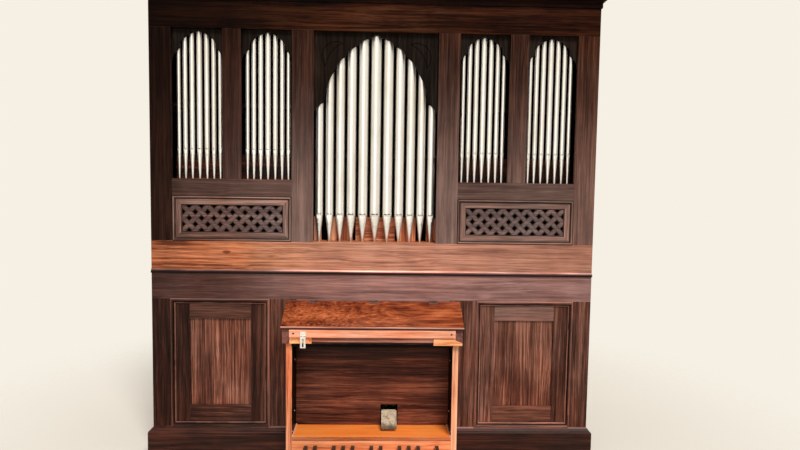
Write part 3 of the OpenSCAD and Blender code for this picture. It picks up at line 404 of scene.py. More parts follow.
def softened(node, finish, softening, along=None):
    """A frame node as one piece with softened edges, and with its grain's place on each board."""
    source = NODES[node].data
    bm = bmesh.new()
    places = {}
    for vertex in source.vertices:
        key = corner_of(vertex.co)
        if key not in places:
            places[key] = bm.verts.new(vertex.co)
    for face in source.polygons:
        corner = [places[corner_of(source.vertices[i].co)] for i in face.vertices]
        if len(set(corner)) == 3 and bm.faces.get(corner) is None:
            bm.faces.new(corner)
    bmesh.ops.dissolve_limit(
        bm, angle_limit=FLAT_ANGLE, verts=bm.verts, edges=bm.edges, delimit={"NORMAL"}
    )
    edge_mark = bm.faces.layers.float.new(EDGE)
    grain = bm.verts.layers.float_vector.new(GRAIN)
    board_mark = bm.verts.layers.float.new(BOARD)
    if softening:
        sharp = [
            e for e in bm.edges if len(e.link_faces) == 2 and e.calc_face_angle(0) > SOFT_ANGLE
        ]
        made = bmesh.ops.bevel(
            bm, geom=sharp, offset=softening, segments=2, profile=0.5, affect="EDGES",
            clamp_overlap=True, loop_slide=False,
        )
        for face in made["faces"]:
            if face.is_valid:
                face[edge_mark] = 1.0
    for index, board in enumerate(whole_boards(bm)):
        low = [min(v.co[i] for v in board) for i in range(3)]
        high = [max(v.co[i] for v in board) for i in range(3)]
        size = [high[i] - low[i] for i in range(3)]
        axis = "XYZ".index(along) if along else size.index(max(size))
        others = [i for i in range(3) if i != axis]
        chance = chance_of(index, low)
        shift = Vector([chance * reach for reach in GRAIN_SHIFT])
        for vert in board:
            vert[grain] = Vector((vert.co[axis], vert.co[others[0]], vert.co[others[1]])) + shift
            vert[board_mark] = chance
    name = f"{node}_finish"
    mesh = bpy.data.meshes.new(name)
    bm.to_mesh(mesh)
    bm.free()
    mesh.shade_smooth()
    mesh.set_sharp_from_angle(angle=SHADE_ANGLE)
    mesh.materials.append(finish)
    obj = new_object(name, mesh)
    obj.modifiers.new("Even shading", "WEIGHTED_NORMAL").keep_sharp = True
    applied(obj)
    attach(obj, BODY_OF[node])
    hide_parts(node)
    return obj


def finished(finish, *nodes, part=1.0, along=None):
    """The nodes with one finish, their edges softened by a part of the radius that is set."""
    radius = bpy.context.scene.organ_fittings.softening * part
    return [softened(node, finish, radius, along) for node in nodes]


def applied(obj):
    """Turns the object's modifiers into plain mesh."""
    graph = bpy.context.evaluated_depsgraph_get()
    mesh = bpy.data.meshes.new_from_object(
        obj.evaluated_get(graph), preserve_all_data_layers=True, depsgraph=graph
    )
    mesh.name = obj.name
    old = obj.data
    obj.modifiers.clear()
    obj.data = mesh
    bpy.data.meshes.remove(old)
    return obj


def faces_get(pieces, finish, test):
    """Gives a second finish to the faces whose middle and direction pass the test."""
    for obj in pieces:
        obj.data.materials.append(finish)
        index = len(obj.data.materials) - 1
        for face in obj.data.polygons:
            if test(face.center, face.normal):
                face.material_index = index


# ------------------ finishes

def tones_of(kind, tint=1.0):
    """The dark, middle and light colour of one kind of wood, made lighter or darker."""
    woods = bpy.context.scene.organ_woods
    if kind == "inside":
        return [times(woods.inside, factor) for factor in PAINTED_SHADE_TONES]
    return [times(getattr(woods, f"{kind}_{step}"), tint) for step in TONES]


def wood(
    kind, name=None, tint=1.0, *, streak=1.0, broad=1.0, contrast=1.0, joints=(), shade=None,
    painted_sheen=None, painted_sheen_tone=linear(152, 128, 121), gloss=0.4, pores=0.5, dark_spots=(), wear_and_highlight=0.35,
    shine=0.12, shaded_foot=None, ring=None,
):
    """Polished wood of one kind, lighter or darker by a tint. Its streaks run along each board.

    joints are places across the case where two boards meet. shade is a profile over the case of
    painted light and shade, with some of the wood's own tone. painted_sheen is a profile of
    painted sheen, a pale reflection of the polish painted into the colour. dark_spots are dark
    places on the front, each with its half height. shaded_foot names an axis and the places on
    it where a moulding's painted shade starts and where it is darkest, at its foot. ring is a
    frame's middle and half size on either side of the case, with its painted highlights and
    shadow lines from its outer edge inward.
    """
    f = Finish(f"{name or kind}_wood")
    dark, mid, light = tones_of(kind, tint)
    along, across, depth = f.axes(f.attribute(GRAIN, "Vector"))
    place = f.place()
    x, y, z = f.axes(place)

    def marks(length, width, **settings):
        """Noise by how often it changes along the grain and across it, per metre."""
        return f.noise(f.xyz(along * length, across * width, depth * width), **settings)

    # The streaks wander a little over the board's length
    wander = marks(1.3, 6, detail=2) - 0.5
    across, depth = across + wander * 0.05, depth + wander * 0.03
    bands = marks(0.8, 14 * broad, detail=3, rough=0.55)
    streaks = marks(1.7, 62 * streak, detail=4, rough=0.6)
    fine = marks(5, 240 * streak, detail=3, rough=0.65)
    tick = marks(26, 900, detail=1)
    patch = f.noise(place, scale=2.6, detail=3, rough=0.6)
    figure = bands * 0.6 + streaks * 0.8 + fine * 0.6 + patch * 0.3
    figure = (figure - 1.15) * (1.7 * contrast) + 0.5 + (f.attribute(BOARD) - 0.5) * 0.16
    for spot_x, spot_z, size in dark_spots:
        far = ((x - spot_x) / (size * 2.4)).power(2) + ((z - spot_z) / size).power(2)
        figure = figure - far.span(1.0, 0.0, 0, 0.6)
    tone = f.ramp(figure, [
        (0.0, times(dark, 0.45)), (0.22, dark), (0.5, mid), (0.78, light), (1.0, lit(light, 1.25)),
    ])
    ruddy = f.noise(place, scale=1.7, detail=3).span(0.38, 0.62)
    tone = f.mix(1.0, tone, f.mix(ruddy, (0.93, 1.01, 1.07), (1.08, 0.98, 0.92)), "MULTIPLY")
    pore = tick.span(0.34, 0.24, 0, pores)
    tone = f.mix(pore, tone, times(dark, 0.5))
    for joint in joints:
        tone = f.mix(abs(x - joint).span(0.0026, 0.001, 0, 0.9), tone, times(dark, 0.3))
    # Painted light and shade over the case, with some of the wood's own tone
    if shade:
        tone = f.mix(1.0, tone, f.over_case(shade), "MULTIPLY")
    # Painted sheen: a pale reflection of the polish painted in by place, lighter where the figure
    # is light
    if painted_sheen:
        cloud = f.noise(place, scale=2.3, detail=4, rough=0.6).span(0.25, 0.75, 0.75, 1.1)
        amount = f.over_case(painted_sheen) * cloud * (figure.clamp() * 0.5 + 0.75)
        sheen_colour = f.mix(figure.clamp(), times(painted_sheen_tone, 0.76), times(painted_sheen_tone, 1.22))
        tone = f.mix(amount.clamp(), tone, sheen_colour)
    # Painted highlights and shadow lines round a frame, with painted sheen where it is lightest
    if ring:
        middle_x, middle_z, half_x, half_z, stops = ring
        inward = (half_x - abs(abs(x) - middle_x)).smaller(half_z - abs(z - middle_z))
        reach = max(stops)
        painted_profile = f.ramp(inward / reach, [(at / reach, (value,) * 3) for at, value in stops.items()])
        tone = f.mix(1.0, tone, painted_profile, "MULTIPLY")
        tone = f.mix(painted_profile.span(1.5, 2.6, 0, 0.4), tone, painted_sheen_tone)
    # Painted shade: darker towards a moulding's foot or deeper in
    if shaded_foot:
        axis, top, foot = shaded_foot
        fall = {"Y": y, "Z": z}[axis].span(top, foot, 0, 0.85)
        tone = f.mix(fall, tone, times(dark, 0.35))
    # Softened edges made lighter: partly wear on the polish, partly painted highlight
    lightened = f.attribute(EDGE) * f.noise(place, scale=9, detail=2).span(0.4, 0.65, 0, wear_and_highlight)
    tone = f.mix(lightened, tone, lit(light, 1.3, 0.03))
    rough = gloss + (fine - 0.5) * 0.18 + (patch - 0.5) * 0.12
    relief = fine * 0.6 - pore * 0.8 + streaks * 0.4
    return f.surface(
        Base_Color=tone, Roughness=rough.clamp(), Specular_IOR_Level=shine,
        Normal=f.bump(relief, 0.0006, 0.6),
    )


def burl(kind, low, high):
    """Figured veneer under a polish: curls at the left that draw out into streaks at the right."""
    f = Finish(f"{kind}_wood")
    dark, mid, light = tones_of(kind)
    across, along, rise = f.axes(f.place())
    drawn = across * (1.0 - across.span(low, high) * 0.72)
    flat = f.xyz(drawn, along * 1.25, rise * 1.6)
    swirl = f.noise(flat, scale=15, detail=4, rough=0.62, warp=2.2)
    eyes = f.node("ShaderNodeTexVoronoi", {"feature": "SMOOTH_F1"}, {
        "Vector": flat, "Scale": 44.0, "Randomness": 1.0,
    })
    curls = f.noise(
        f.xyz(drawn * 11, along * 120, rise * 120), detail=4, rough=0.65, warp=0.9,
    )
    fine = f.noise(flat, scale=230, detail=3, rough=0.6)
    broad = f.noise(f.xyz(across * 3, along * 9, rise * 9), detail=2)
    figure = swirl * 0.65 + eyes * 0.25 + curls * 0.8 + fine * 0.3 + broad * 0.5
    tone = f.ramp((figure - 1.25) * 1.5 + 0.5, [
        (0.0, times(dark, 0.45)), (0.24, dark), (0.5, mid), (0.78, light), (1.0, lit(light, 1.2)),
    ])
    edge = across.span(low, low + 0.12, 0.75, 1.0)
    tone = f.mix(1.0, tone, f.xyz(edge, edge, edge), "MULTIPLY")
    # Painted highlight along the softened edges
    tone = f.mix(f.attribute(EDGE) * 0.5, tone, light)
    return f.surface(
        Base_Color=tone, Roughness=(0.26 + fine * 0.14), Specular_IOR_Level=0.2,
        Coat_Weight=0.12, Coat_Roughness=0.12,
        Normal=f.bump(fine * 0.5 + curls * 0.3, 0.0004, 0.4),
    )


def pipe_metal(name, metal, stain, metallic):
    """Planed pipe metal: almost white, with faint upright marks, spots and stains."""
    f = Finish(name)
    place = f.place()
    x, y, z = f.axes(place)
    marks = f.noise(f.xyz(x * 260, y * 260, z * 2.2), detail=3, rough=0.6)
    cloud = f.noise(f.xyz(x * 9, y * 9, z * 3.4), detail=4, rough=0.6)
    spots = f.noise(place, scale=120, detail=2, rough=0.6)
    speck = spots.span(0.66, 0.74, 0, 0.35)
    grime = (cloud.span(0.45, 0.75, 0, 0.55) + marks.span(0.5, 0.8, 0, 0.18)).clamp()
    tone = f.mix(grime, metal, stain)
    tone = f.mix(speck, tone, linear(150, 140, 122))
    rough = 0.26 + marks * 0.12 + grime * 0.2
    return f.surface(
        Base_Color=tone, Metallic=metallic, Roughness=rough,
        Normal=f.bump(marks + cloud * 0.5, 0.0003, 0.3),
    )


def bright_metal(
    name, clean, stained, metallic, rough, stain_scale=26, pit_scale=480, depth=0.0003,
    darker_below=None,
):
    """Metal with stains and fine pitting. It is darker below the height darker_below."""
    f = Finish(name)
    place = f.place()
    cloud = f.noise(place, scale=stain_scale, detail=4, rough=0.62)
    pits = f.noise(place, scale=pit_scale, detail=3, rough=0.6)
    stain = cloud.span(0.42, 0.68, 0, 0.75)
    tone = f.mix(stain, clean, stained)
    tone = f.mix(f.attribute(EDGE) * 0.4, tone, lit(clean, 1.2, 0.05))
    if darker_below:
        height = f.axes(place)[2]
        darkening = height.span(darker_below, darker_below - 0.016, 0, 0.8) * (pits + 0.5)
        tone = f.mix(darkening.clamp(), tone, times(stained, 0.25))
    return f.surface(
        Base_Color=tone, Metallic=metallic, Roughness=(rough + pits * 0.14 + stain * 0.12),
        Normal=f.bump(pits + cloud * 0.6, depth, 0.6),
    )


def key_cover(name, clean, aged, rough):
    """Key covering with faint upright marks and yellowing."""
    f = Finish(name)
    place = f.place()
    x, y, z = f.axes(place)
    lines = f.noise(f.xyz(x * 500, y * 22, z * 500), detail=2)
    cloud = f.noise(place, scale=14, detail=3)
    age = (lines.span(0.4, 0.7, 0, 0.5) + cloud.span(0.4, 0.7, 0, 0.4)).clamp()
    return f.surface(
        Base_Color=f.mix(age, clean, aged), Roughness=(rough + cloud * 0.1),
        Normal=f.bump(lines, 0.0001, 0.4),
    )


def dark_wood():
    """Painted shade: the one dark wood for every piece with faces that lie in shade."""
    return bpy.data.materials.get("dark_wood") or wood("inside", "dark", wear_and_highlight=0.05, shine=0.03)


def ring_of(node, stops):
    """A frame's place and its painted highlights and shadow lines inward, from the node that holds
    its uprights.
    """
    low, high = box(node)
    inner = min(abs(v.co.x) for v in NODES[node].data.vertices)
    return (
        (inner + high.x) / 2, (low.z + high.z) / 2, (high.x - inner) / 2, (high.z - low.z) / 2,
        stops,
    )


# Profiles over the case, by the place in metres: painted light and shade on a wood, with some of
# its own tone, and how much painted sheen, a pale reflection of the polish, lies on it
UPPER_SHADE = {
    "X": {
        -1.6: 0.16, -1.4: 0.23, -1.25: 0.34, -1.0: 0.5, -0.6: 0.85, 0.5: 1.15, 0.9: 1.35,
        1.3: 1.45, 1.6: 1.45,
    },
    "Z": {1.5: 1.4, 1.9: 1.25, 2.2: 0.85, 2.5: 0.68, 3.05: 0.6},
}
UPPER_SHEEN = {
    "X": {-1.6: 0.02, -1.3: 0.06, -1.0: 0.3, -0.7: 0.85, 0.7: 1.0, 1.1: 0.72, 1.6: 0.7},
    "Z": {1.5: 0.55, 1.9: 0.5, 2.3: 0.24, 2.7: 0.06, 3.0: 0.01, 3.32: 0.0},
}
SILL_SHADE = {"X": {-1.6: 0.4, -0.6: 1.0, 0.6: 0.9, 1.6: 1.0}}
SILL_SHEEN = {"X": {-1.6: 0.06, -0.7: 0.28, 0.7: 0.3, 1.6: 0.35}}
CROWN_SHADE = {"X": {-1.6: 0.2, -1.0: 0.28, -0.4: 1.1, 0.0: 1.6, 0.8: 0.95, 1.6: 0.75}}
CORNICE_SHADE = {**CROWN_SHADE, "Z": {3.05: 0.6, 3.32: 0.45}}
GRILLE_SHADE = {"X": {-1.5: 0.75, -0.9: 0.85, 0.6: 0.8, 1.5: 0.75}}
GRILLE_SHEEN = {"X": {-1.5: 0.1, -0.7: 0.3, 1.5: 0.4}}
EDGING_SHADE = {"X": {-1.5: 1.0, -0.9: 1.3, 0.6: 1.05, 1.5: 1.05}}
TOP_SHADE = {"X": {-1.6: 0.2, -1.1: 0.28, -0.6: 0.62, 0.0: 1.1, 1.2: 0.8, 1.6: 0.7}}
TOP_SHEEN = {"X": {-1.6: 0.0, -1.0: 0.05, -0.4: 0.34, 0.6: 0.38, 1.6: 0.3}}
WAIST_SHADE = {"X": {-1.6: 0.76, -0.6: 0.86, 0.2: 0.85, 0.8: 0.48, 1.6: 0.42}}
WAIST_SHEEN = {"X": {-1.6: 0.0, -0.9: 0.06, -0.3: 0.45, 0.3: 0.55, 1.6: 0.4}}
LOWER_SHADE = {"X": {
    -1.6: 0.42, -1.4: 0.55, -0.85: 1.0, -0.62: 1.45, 0.62: 1.8, 0.9: 1.9, 1.4: 1.7, 1.6: 2.1,
}}
DOOR_SHADE = {"X": {-1.6: 0.34, -1.38: 0.4, -0.86: 0.64, 0.8: 2.5, 1.0: 2.3, 1.4: 1.2}}
DOOR_RAIL_SHADE = {"X": {-1.6: 0.5, -0.8: 0.72, 0.8: 1.15, 1.6: 1.0}}
DOOR_RAIL_SHEEN = {
    "Z": {0.2: 0.0, 0.9: 0.05, 1.15: 0.34}, "X": {-1.6: 0.1, -0.6: 0.16, 0.6: 1.0},
}
BOARD_SHADE = {"X": {-1.6: 1.1, -0.7: 1.1, 0.7: 0.98, 1.6: 1.02}}
PLINTH_SHADE = {"X": {-1.6: 0.8, 0.0: 0.75, 1.6: 0.6}}
POST_SHEEN = {"X": {-0.7: 0.0, 0.4: 0.0, 0.6: 0.5}}
BLOCK_SHADE = {"X": {-0.7: 1.0, 0.0: 1.0, 0.7: 1.12}}

# Painted highlights and shadow lines along a frame's profile, by metres in from its outer edge
GRILLE_PAINTED_PROFILE = {
    0.0: 0.1, 0.004: 0.12, 0.007: 1.25, 0.011: 0.95, 0.016: 0.2, 0.022: 0.15, 0.026: 1.0,
    0.05: 0.9, 0.057: 1.1, 0.06: 0.2, 0.066: 0.1,
}
MOULDING_PAINTED_PROFILE = {
    0.0: 2.6, 0.004: 2.2, 0.007: 0.9, 0.014: 0.75, 0.018: 0.15, 0.028: 0.08, 0.03: 1.6,
    0.033: 2.4, 0.035: 0.2,
}
WAIST_DARK_SPOTS = ((-1.03, 1.475, 0.016), (-1.4, 1.592, 0.09))
PANEL_JOINTS = (-1.145, -1.0028, 1.002, 1.145)
GRILLE_SHADED_FOOT = ("Y", 0.0145, 0.0165)

# Radius of the softened edges on small pieces
KEY_EDGE = 0.0008
STEEL_EDGE = 0.0005
CAST_EDGE = 0.001


class OrganOperator:
    """What the steps share."""
    bl_options = {"REGISTER", "UNDO"}

    @classmethod
    def poll(cls, context):
        return context.scene is not None


class ORGAN_OT_upper_case(OrganOperator, bpy.types.Operator):
    """Finishes the upper frame, cornice, frieze, grilles and foiled panels"""
    bl_idname = "organ.upper_case"
    bl_label = "Upper case"

    def execute(self, context):
        finished(wood("upper", shade=UPPER_SHADE, painted_sheen=UPPER_SHEEN, shine=0.035), "upper_stiles")
        finished(wood(
            "upper", "sill", shade=SILL_SHADE, painted_sheen=SILL_SHEEN, shine=0.035,
        ), "side_sill_rails")
        finished(wood("crown", "frieze", shade=CROWN_SHADE, shine=0.03), "frieze")
        finished(wood("crown", "cornice", shade=CORNICE_SHADE, shine=0.03), "cornice")
        finished(wood(
            "grille", "grille_frame", 1.25, shade=EDGING_SHADE, painted_sheen=GRILLE_SHEEN, shine=0.06,
            ring=ring_of("grille_frame_stiles", GRILLE_PAINTED_PROFILE),
        ), "grille_frame_stiles", "grille_frame_rails", part=0.6)
        finished(wood(
            "grille", streak=1.6, shade=GRILLE_SHADE, painted_sheen=GRILLE_SHEEN,
            painted_sheen_tone=linear(138, 128, 130), shaded_foot=GRILLE_SHADED_FOOT, shine=0.06,
        ), "grille_left", "grille_right", part=0.4)
        foil = wood("foil", gloss=0.6, shine=0.03, wear_and_highlight=0.1)
        # A groove in the centre panel's front is painted dark, as the shade in it
        groove = wood("foil", "foil_line", 0.2, shine=0.02, wear_and_highlight=0)
        front = box("arch_panel_centre")[0].y
        centre = finished(foil, "arch_panel_centre", part=0.5, along="Z")
        faces_get(centre, groove, lambda c, n: front + 0.0008 < c.y < front + 0.006)
        finished(foil, "arch_panels_side", part=0.5, along="Z")
        return {"FINISHED"}


class ORGAN_OT_lower_case(OrganOperator, bpy.types.Operator):
    """Finishes the waist, the lower frame, its panels and the plinth"""
    bl_idname = "organ.lower_case"
    bl_label = "Lower case"

    def execute(self, context):
        finished(wood(
            "waist", shade=WAIST_SHADE, painted_sheen=WAIST_SHEEN, painted_sheen_tone=linear(194, 146, 128),
            streak=1.4, contrast=1.65, dark_spots=WAIST_DARK_SPOTS,
        ), "waist_rail")
        finished(wood(
            "top", shade=TOP_SHADE, painted_sheen=TOP_SHEEN, painted_sheen_tone=linear(176, 138, 134),
        ), "lower_rails", "console_back")
        low, high = (corner.z for corner in box("waist_moulding"))
        # Painted highlight along the moulding's top and painted shadow below it
        finished(wood("top", "bead", shade={**TOP_SHADE, "Z": {
            low: 0.04, low + 0.013: 0.07, low + 0.018: 0.5, low + 0.022: 3.2, high: 3.6,
        }}), "waist_moulding")
        finished(wood("lower", shade=LOWER_SHADE, shine=0.08), "lower_stiles")
        finished(wood("lower", "door", shade=DOOR_SHADE, shine=0.08), "panel_frame_stiles")
        finished(wood(
            "lower", "lower_rail", 1.5, shade=DOOR_RAIL_SHADE, painted_sheen=DOOR_RAIL_SHEEN,
        ), "panel_frame_rails")
        finished(wood(
            "lower", "moulding", 1.6, shade=LOWER_SHADE, wear_and_highlight=0.6, gloss=0.3,
            ring=ring_of("panel_moulding_stiles", MOULDING_PAINTED_PROFILE),
        ), "panel_moulding_stiles", "panel_moulding_rails", part=0.6)
        finished(wood(
            "panel", joints=PANEL_JOINTS, pores=0.7, contrast=1.1, streak=1.5, shade=BOARD_SHADE,
        ), "panel_boards")
        plinth = wood("plinth", streak=1.3, wear_and_highlight=0.8, shade=PLINTH_SHADE)
        finished(plinth, "plinth_front", "plinth_ends")
        return {"FINISHED"}


class ORGAN_OT_case_shell(OrganOperator, bpy.types.Operator):
    """Finishes the case's ends, back and roof, the racks, the toe boards and the wind chests"""
    bl_idname = "organ.case_shell"
    bl_label = "Ends, back and roof"

    def execute(self, context):
        dark = dark_wood()
        half = box("side_stiles")[1].x
        back = box("back_stiles")[1].y
        # Faces this deep under the shell's outer faces look into the case and get painted shade
        frame_t, roof_edge, panel_depth = 0.028, 0.03, 0.05
        shell = finished(
            wood("lower", "shell"),
            "side_stiles", "back_stiles", "case_rails", "end_mouldings", "roof",
        )
        faces_get(shell, dark, lambda c, n: (
            (abs(c.x) < half - frame_t and n.x * c.x < -0.5)
            or (c.y < back - frame_t and n.y < -0.5)
            or (abs(c.x) < half - roof_edge and n.z < -0.5)
        ))
        panels = finished(wood("panel", "shell_boards", pores=0.6), "case_panels", along="Z")
        # The panels' inner faces get painted shade
        faces_get(panels, dark, lambda c, n: (
            (abs(c.x) > half - panel_depth and n.x * c.x < 0)
            or (abs(c.x) < half - panel_depth and n.y < -0.5)
        ))
        # The racks inside the case get painted shade
        finished(dark, "pipe_racks", "rack_arms", part=0.5)
        finished(wood("waist", "toe_board", gloss=0.5, shine=0.08), "toe_boards")
        finished(wood("chest", gloss=0.5, broad=0.5), "wind_chest_centre")
        finished(wood("side_chest", gloss=0.5), "wind_chest_sides")
        return {"FINISHED"}


class ORGAN_OT_pipes(OrganOperator, bpy.types.Operator):
    """Finishes the pipes and lays a soldered seam round each, below its mouth"""
    bl_idname = "organ.pipes"
    bl_label = "Pipes"

    def execute(self, context):
        group = context.scene.organ_pipes
        metal = pipe_metal("pipe_metal", tuple(group.metal), tuple(group.stain), group.metal_share)
        seams = []
        for node in ("pipes_centre", "pipes_left", "pipes_right"):
            finished(metal, node, part=0, along="Z")
            seams += seam_places(node)
        solder = bright_metal(
            "solder_metal", linear(146, 138, 124), linear(92, 84, 72), 0.4, 0.45,
        )
        values = {"Wire": group.seam_size, "Finish": solder}
        points_piece("pipe_seams", "case", seams, seam_tree(), values)
        return {"FINISHED"}


class ORGAN_OT_console(OrganOperator, bpy.types.Operator):
    """Finishes the posts, kneeboard, toe shelf, key desk and keys"""
    bl_idname = "organ.console"
    bl_label = "Console"

    def execute(self, context):
        dark = dark_wood()
        # Painted sheen lightens the right post; the posts' inner faces get painted shade
        post = wood("post", pores=0.3, painted_sheen=POST_SHEEN, painted_sheen_tone=linear(240, 196, 162))
        faces_get(finished(post, "console_posts"), dark, lambda c, n: n.x * c.x < -0.5)
        low, high = (corner.z for corner in box("toe_shelf"))
        lip = wood("lip", "shelf_lip", shade={"Z": {
            low: 1.0, high - 0.029: 1.0, high - 0.026: 0.25, high - 0.022: 0.6, high: 0.5,
        }})
        shelf = wood("shelf", pores=0.2, broad=0.6, shine=0.25)
        faces_get(finished(shelf, "toe_shelf"), lip, lambda c, n: n.y < -0.5)
        finished(wood("block", shade=BLOCK_SHADE), "key_blocks", part=0.7)
        low, high = (corner.z for corner in box("kneeboard"))
        # Painted shadow of the key desk over the kneeboard's top
        knee = wood("knee", contrast=0.8, shade={"Z": {
            low: 1.0, low * 0.35 + high * 0.65: 1.0, high - 0.1: 0.35, high: 0.25,
        }})
        finished(knee, "kneeboard", "kneeboard_foot", "nameboard")
        # The key bed's front and underside get painted shade
        faces_get(finished(knee, "key_bed"), dark, lambda c, n: n.y < -0.3 or n.z < -0.5)
        low, high = (corner.z for corner in box("key_slip"))
        # Painted shade: the slip is nearly black below a lighter band at its top
        finished(wood("slip", shade={"Z": {
            low: 0.03, high - 0.033: 0.05, high - 0.028: 1.3, high: 1.3,
        }}), "key_slip")
        finished(wood("cheek"), "desk_cheeks", "lid_ledge")
        ivory = key_cover("key_white", linear(240, 232, 208), linear(222, 206, 168), 0.22)
        ebony = key_cover("key_black", linear(22, 19, 18), linear(44, 36, 32), 0.26)
        softened("manual_naturals", ivory, KEY_EDGE)
        softened("manual_sharps", ebony, KEY_EDGE)
        return {"FINISHED"}


class ORGAN_OT_lid(OrganOperator, bpy.types.Operator):
    """Finishes the lid and its rail"""
    bl_idname = "organ.lid"
    bl_label = "Lid"

    def execute(self, context):
        low, high = box("lid_board")
        board = finished(burl("burl", low.x, high.x), "lid_board")
        # Faces that look down take darker tones: the lid's underside, and the nosing's lower half
        # as painted shadow
        under = wood("under", "lid_under")
        # The nosing's upper half is a painted highlight, darker towards its foot as painted shadow
        nosing = wood("nosing", shine=0.1, shaded_foot=("Z", low.z + 0.019, low.z + 0.012))
        faces_get(board, under, lambda c, n: n.z < -0.05)
        faces_get(board, nosing, lambda c, n: c.y < low.y + 0.02 and n.y < -0.62 and n.z > -0.05)
        finished(wood("lid_rail", shine=0.2), "lid_rail")
        return {"FINISHED"}


class ORGAN_OT_pedals(OrganOperator, bpy.types.Operator):
    """Finishes the pedalboard"""
    bl_idname = "organ.pedals"
    bl_label = "Pedalboard"

    def execute(self, context):
        finished(wood("pedal", gloss=0.45, streak=1.5), "pedal_naturals", "pedal_sharp_keys")
        black = key_cover("pedal_black", linear(34, 26, 24), linear(66, 50, 44), 0.3)
        # Painted highlight: the sharps' left faces take a lighter finish
        lightened = key_cover("pedal_worn", linear(150, 128, 112), linear(108, 84, 72), 0.35)
        faces_get(finished(black, "pedal_sharps"), lightened, lambda c, n: n.x < -0.5)
        finished(wood("lower", "pedal_frame"), "pedal_cheeks", "pedal_rails")
        return {"FINISHED"}


class ORGAN_OT_fittings(OrganOperator, bpy.types.Operator):
    """Finishes the hinges, hasp and swell pedal, and adds the toe shelf's cleats and the screws"""
    bl_idname = "organ.fittings"
    bl_label = "Fittings and screws"

    def execute(self, context):
        group = context.scene.organ_fittings
        steel = bright_metal("steel", tuple(group.steel), linear(196, 188, 172), 0.55, 0.3)
        bronze = bright_metal("bronze", tuple(group.bronze), linear(80, 50, 40), 0.3, 0.5)
        nickel = bright_metal("nickel", linear(250, 246, 240), linear(220, 214, 204), 0.2, 0.4)
        black = bright_metal("black_iron", linear(18, 12, 10), linear(36, 22, 16), 0.3, 0.6)
        cast = bright_metal(
            "cast_metal", tuple(group.cast), linear(112, 90, 70), 0.3, 0.42,
            stain_scale=34, pit_scale=300, depth=0.002, darker_below=box("swell_pedal")[0].z + 0.03,
        )
        ledge = box("lid_ledge")[0]
        pieces = [
            softened(node, steel, STEEL_EDGE)
            for node in ("console_fittings", "lid_fittings", "hasp_strap")
        ]
        faces_get(pieces, bronze, lambda c, n: c.z > ledge.z and c.y > ledge.y - 0.04)
        for node in ("swell_pedal", "swell_lugs"):
            softened(node, cast, CAST_EDGE)
        boxes_piece("shelf_cleats", "case", shelf_cleats(group), wood("cleat"))
        lid_screws, case_screws = hinge_screws()
        tree = screw_tree()
        for name, body, places, finish in (
            ("post_screws", "case", post_screws(group), nickel),
            ("hinge_screws", "case", case_screws, bronze),
            ("lid_hinge_screws", "lid", lid_screws, bronze),
            ("hasp_screws", "lid", hasp_screws(), steel),
            ("lid_rail_screws", "lid", rail_screws(), black),
        ):
            values = {"Slot": group.screw_slot, "Seed": SCREW_SEED, "Finish": finish}
            points_piece(name, body, places, tree, values)
        return {"FINISHED"}


# ------------------ added pieces

CLEAT_EDGE = 0.0015               # width of a cleat's softened edge
CLEAT_BACK = 0.004                # how far a cleat stays behind the toe shelf's front
HINGES = (-0.42, 0, 0.42)         # the middle of each of the lid's hinges
HINGE_SCREWS = (-0.02, 0, 0.02)   # a hinge's screws from its middle
HINGE_REACH = 0.016               # from a hinge's pin to the lid's screws
HINGE_GAP = 0.002                 # from the ledge to the pin
HINGE_PLATE = 0.0015
PLATE_SCREW = 0.006               # diameter of the screws in plates
RAIL_SCREW = 0.013                # and in the lid's rail
SCREW_SEED = 4
SEAM_BELOW_MOUTH = 0.004
FOOT_CENTRE, FOOT_SIDE = 0.188, 0.204    # heights of the pipes' feet


def boxes_piece(name, body, shapes, finish):
    """A piece of boxes with softened edges, given as pairs of corners."""
    bm = bmesh.new()
    for low, high in shapes:
        middle = (Vector(low) + Vector(high)) / 2
        size = Matrix.Diagonal((*(Vector(high) - Vector(low)), 1))
        bmesh.ops.create_cube(bm, size=1, matrix=Matrix.Translation(middle) @ size)
    mesh = bpy.data.meshes.new(name)
    bm.to_mesh(mesh)
    bm.free()
    mesh.materials.append(finish)
    obj = new_object(name, mesh)
    obj.modifiers.new("Softened", "BEVEL").width = CLEAT_EDGE
    applied(obj)
    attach(obj, body)
    return obj


def shelf_cleats(group):
    """Light cleats on the toe shelf, along the posts."""
    low, high = box("toe_shelf")
    cleats = []
    for side in (-1, 1):
        x0, x1 = sorted((side * high.x, side * (high.x - group.cleat_w)))
        cleats.append(((x0, low.y + CLEAT_BACK, high.z), (x1, high.y, high.z + group.cleat_w)))
    return cleats


def post_screws(group):
    """Screws on the posts' inner sides: places, directions and sizes."""
    inner = box("toe_shelf")[1].x
    front = box("console_posts")[0].y
    return [
        ((side * inner, front * depth, z), (-side, 0, 0), group.screw_d)
        for side in (-1, 1) for depth, z in ((0.9, 0.27), (0.35, 0.37), (0.35, 0.735))
    ]


def hinge_screws():
    """Screws of the three hinges, on the lid and on the ledge behind it."""
    low, high = box("lid_ledge")
    sine = -lid_facing()
    cosine = math.cos(math.asin(sine))
    lid, case = [], []
    for x in [hinge + shift for hinge in HINGES for shift in HINGE_SCREWS]:
        case.append(((x, (low.y + high.y) / 2, high.z + HINGE_PLATE), (0, 0, 1), PLATE_SCREW))
        y = low.y - HINGE_GAP - HINGE_REACH * cosine - HINGE_PLATE * sine
        z = high.z - HINGE_REACH * sine + HINGE_PLATE * cosine
        lid.append(((x, y, z), (0, -sine, cosine), PLATE_SCREW))
    return lid, case


def lid_facing():
    """The direction along Y of the lid's largest upper face, which leans forward."""
    faces = NODES["lid_board"].data.polygons
    return max((f for f in faces if f.normal.z > 0.5), key=lambda f: f.area).normal.y


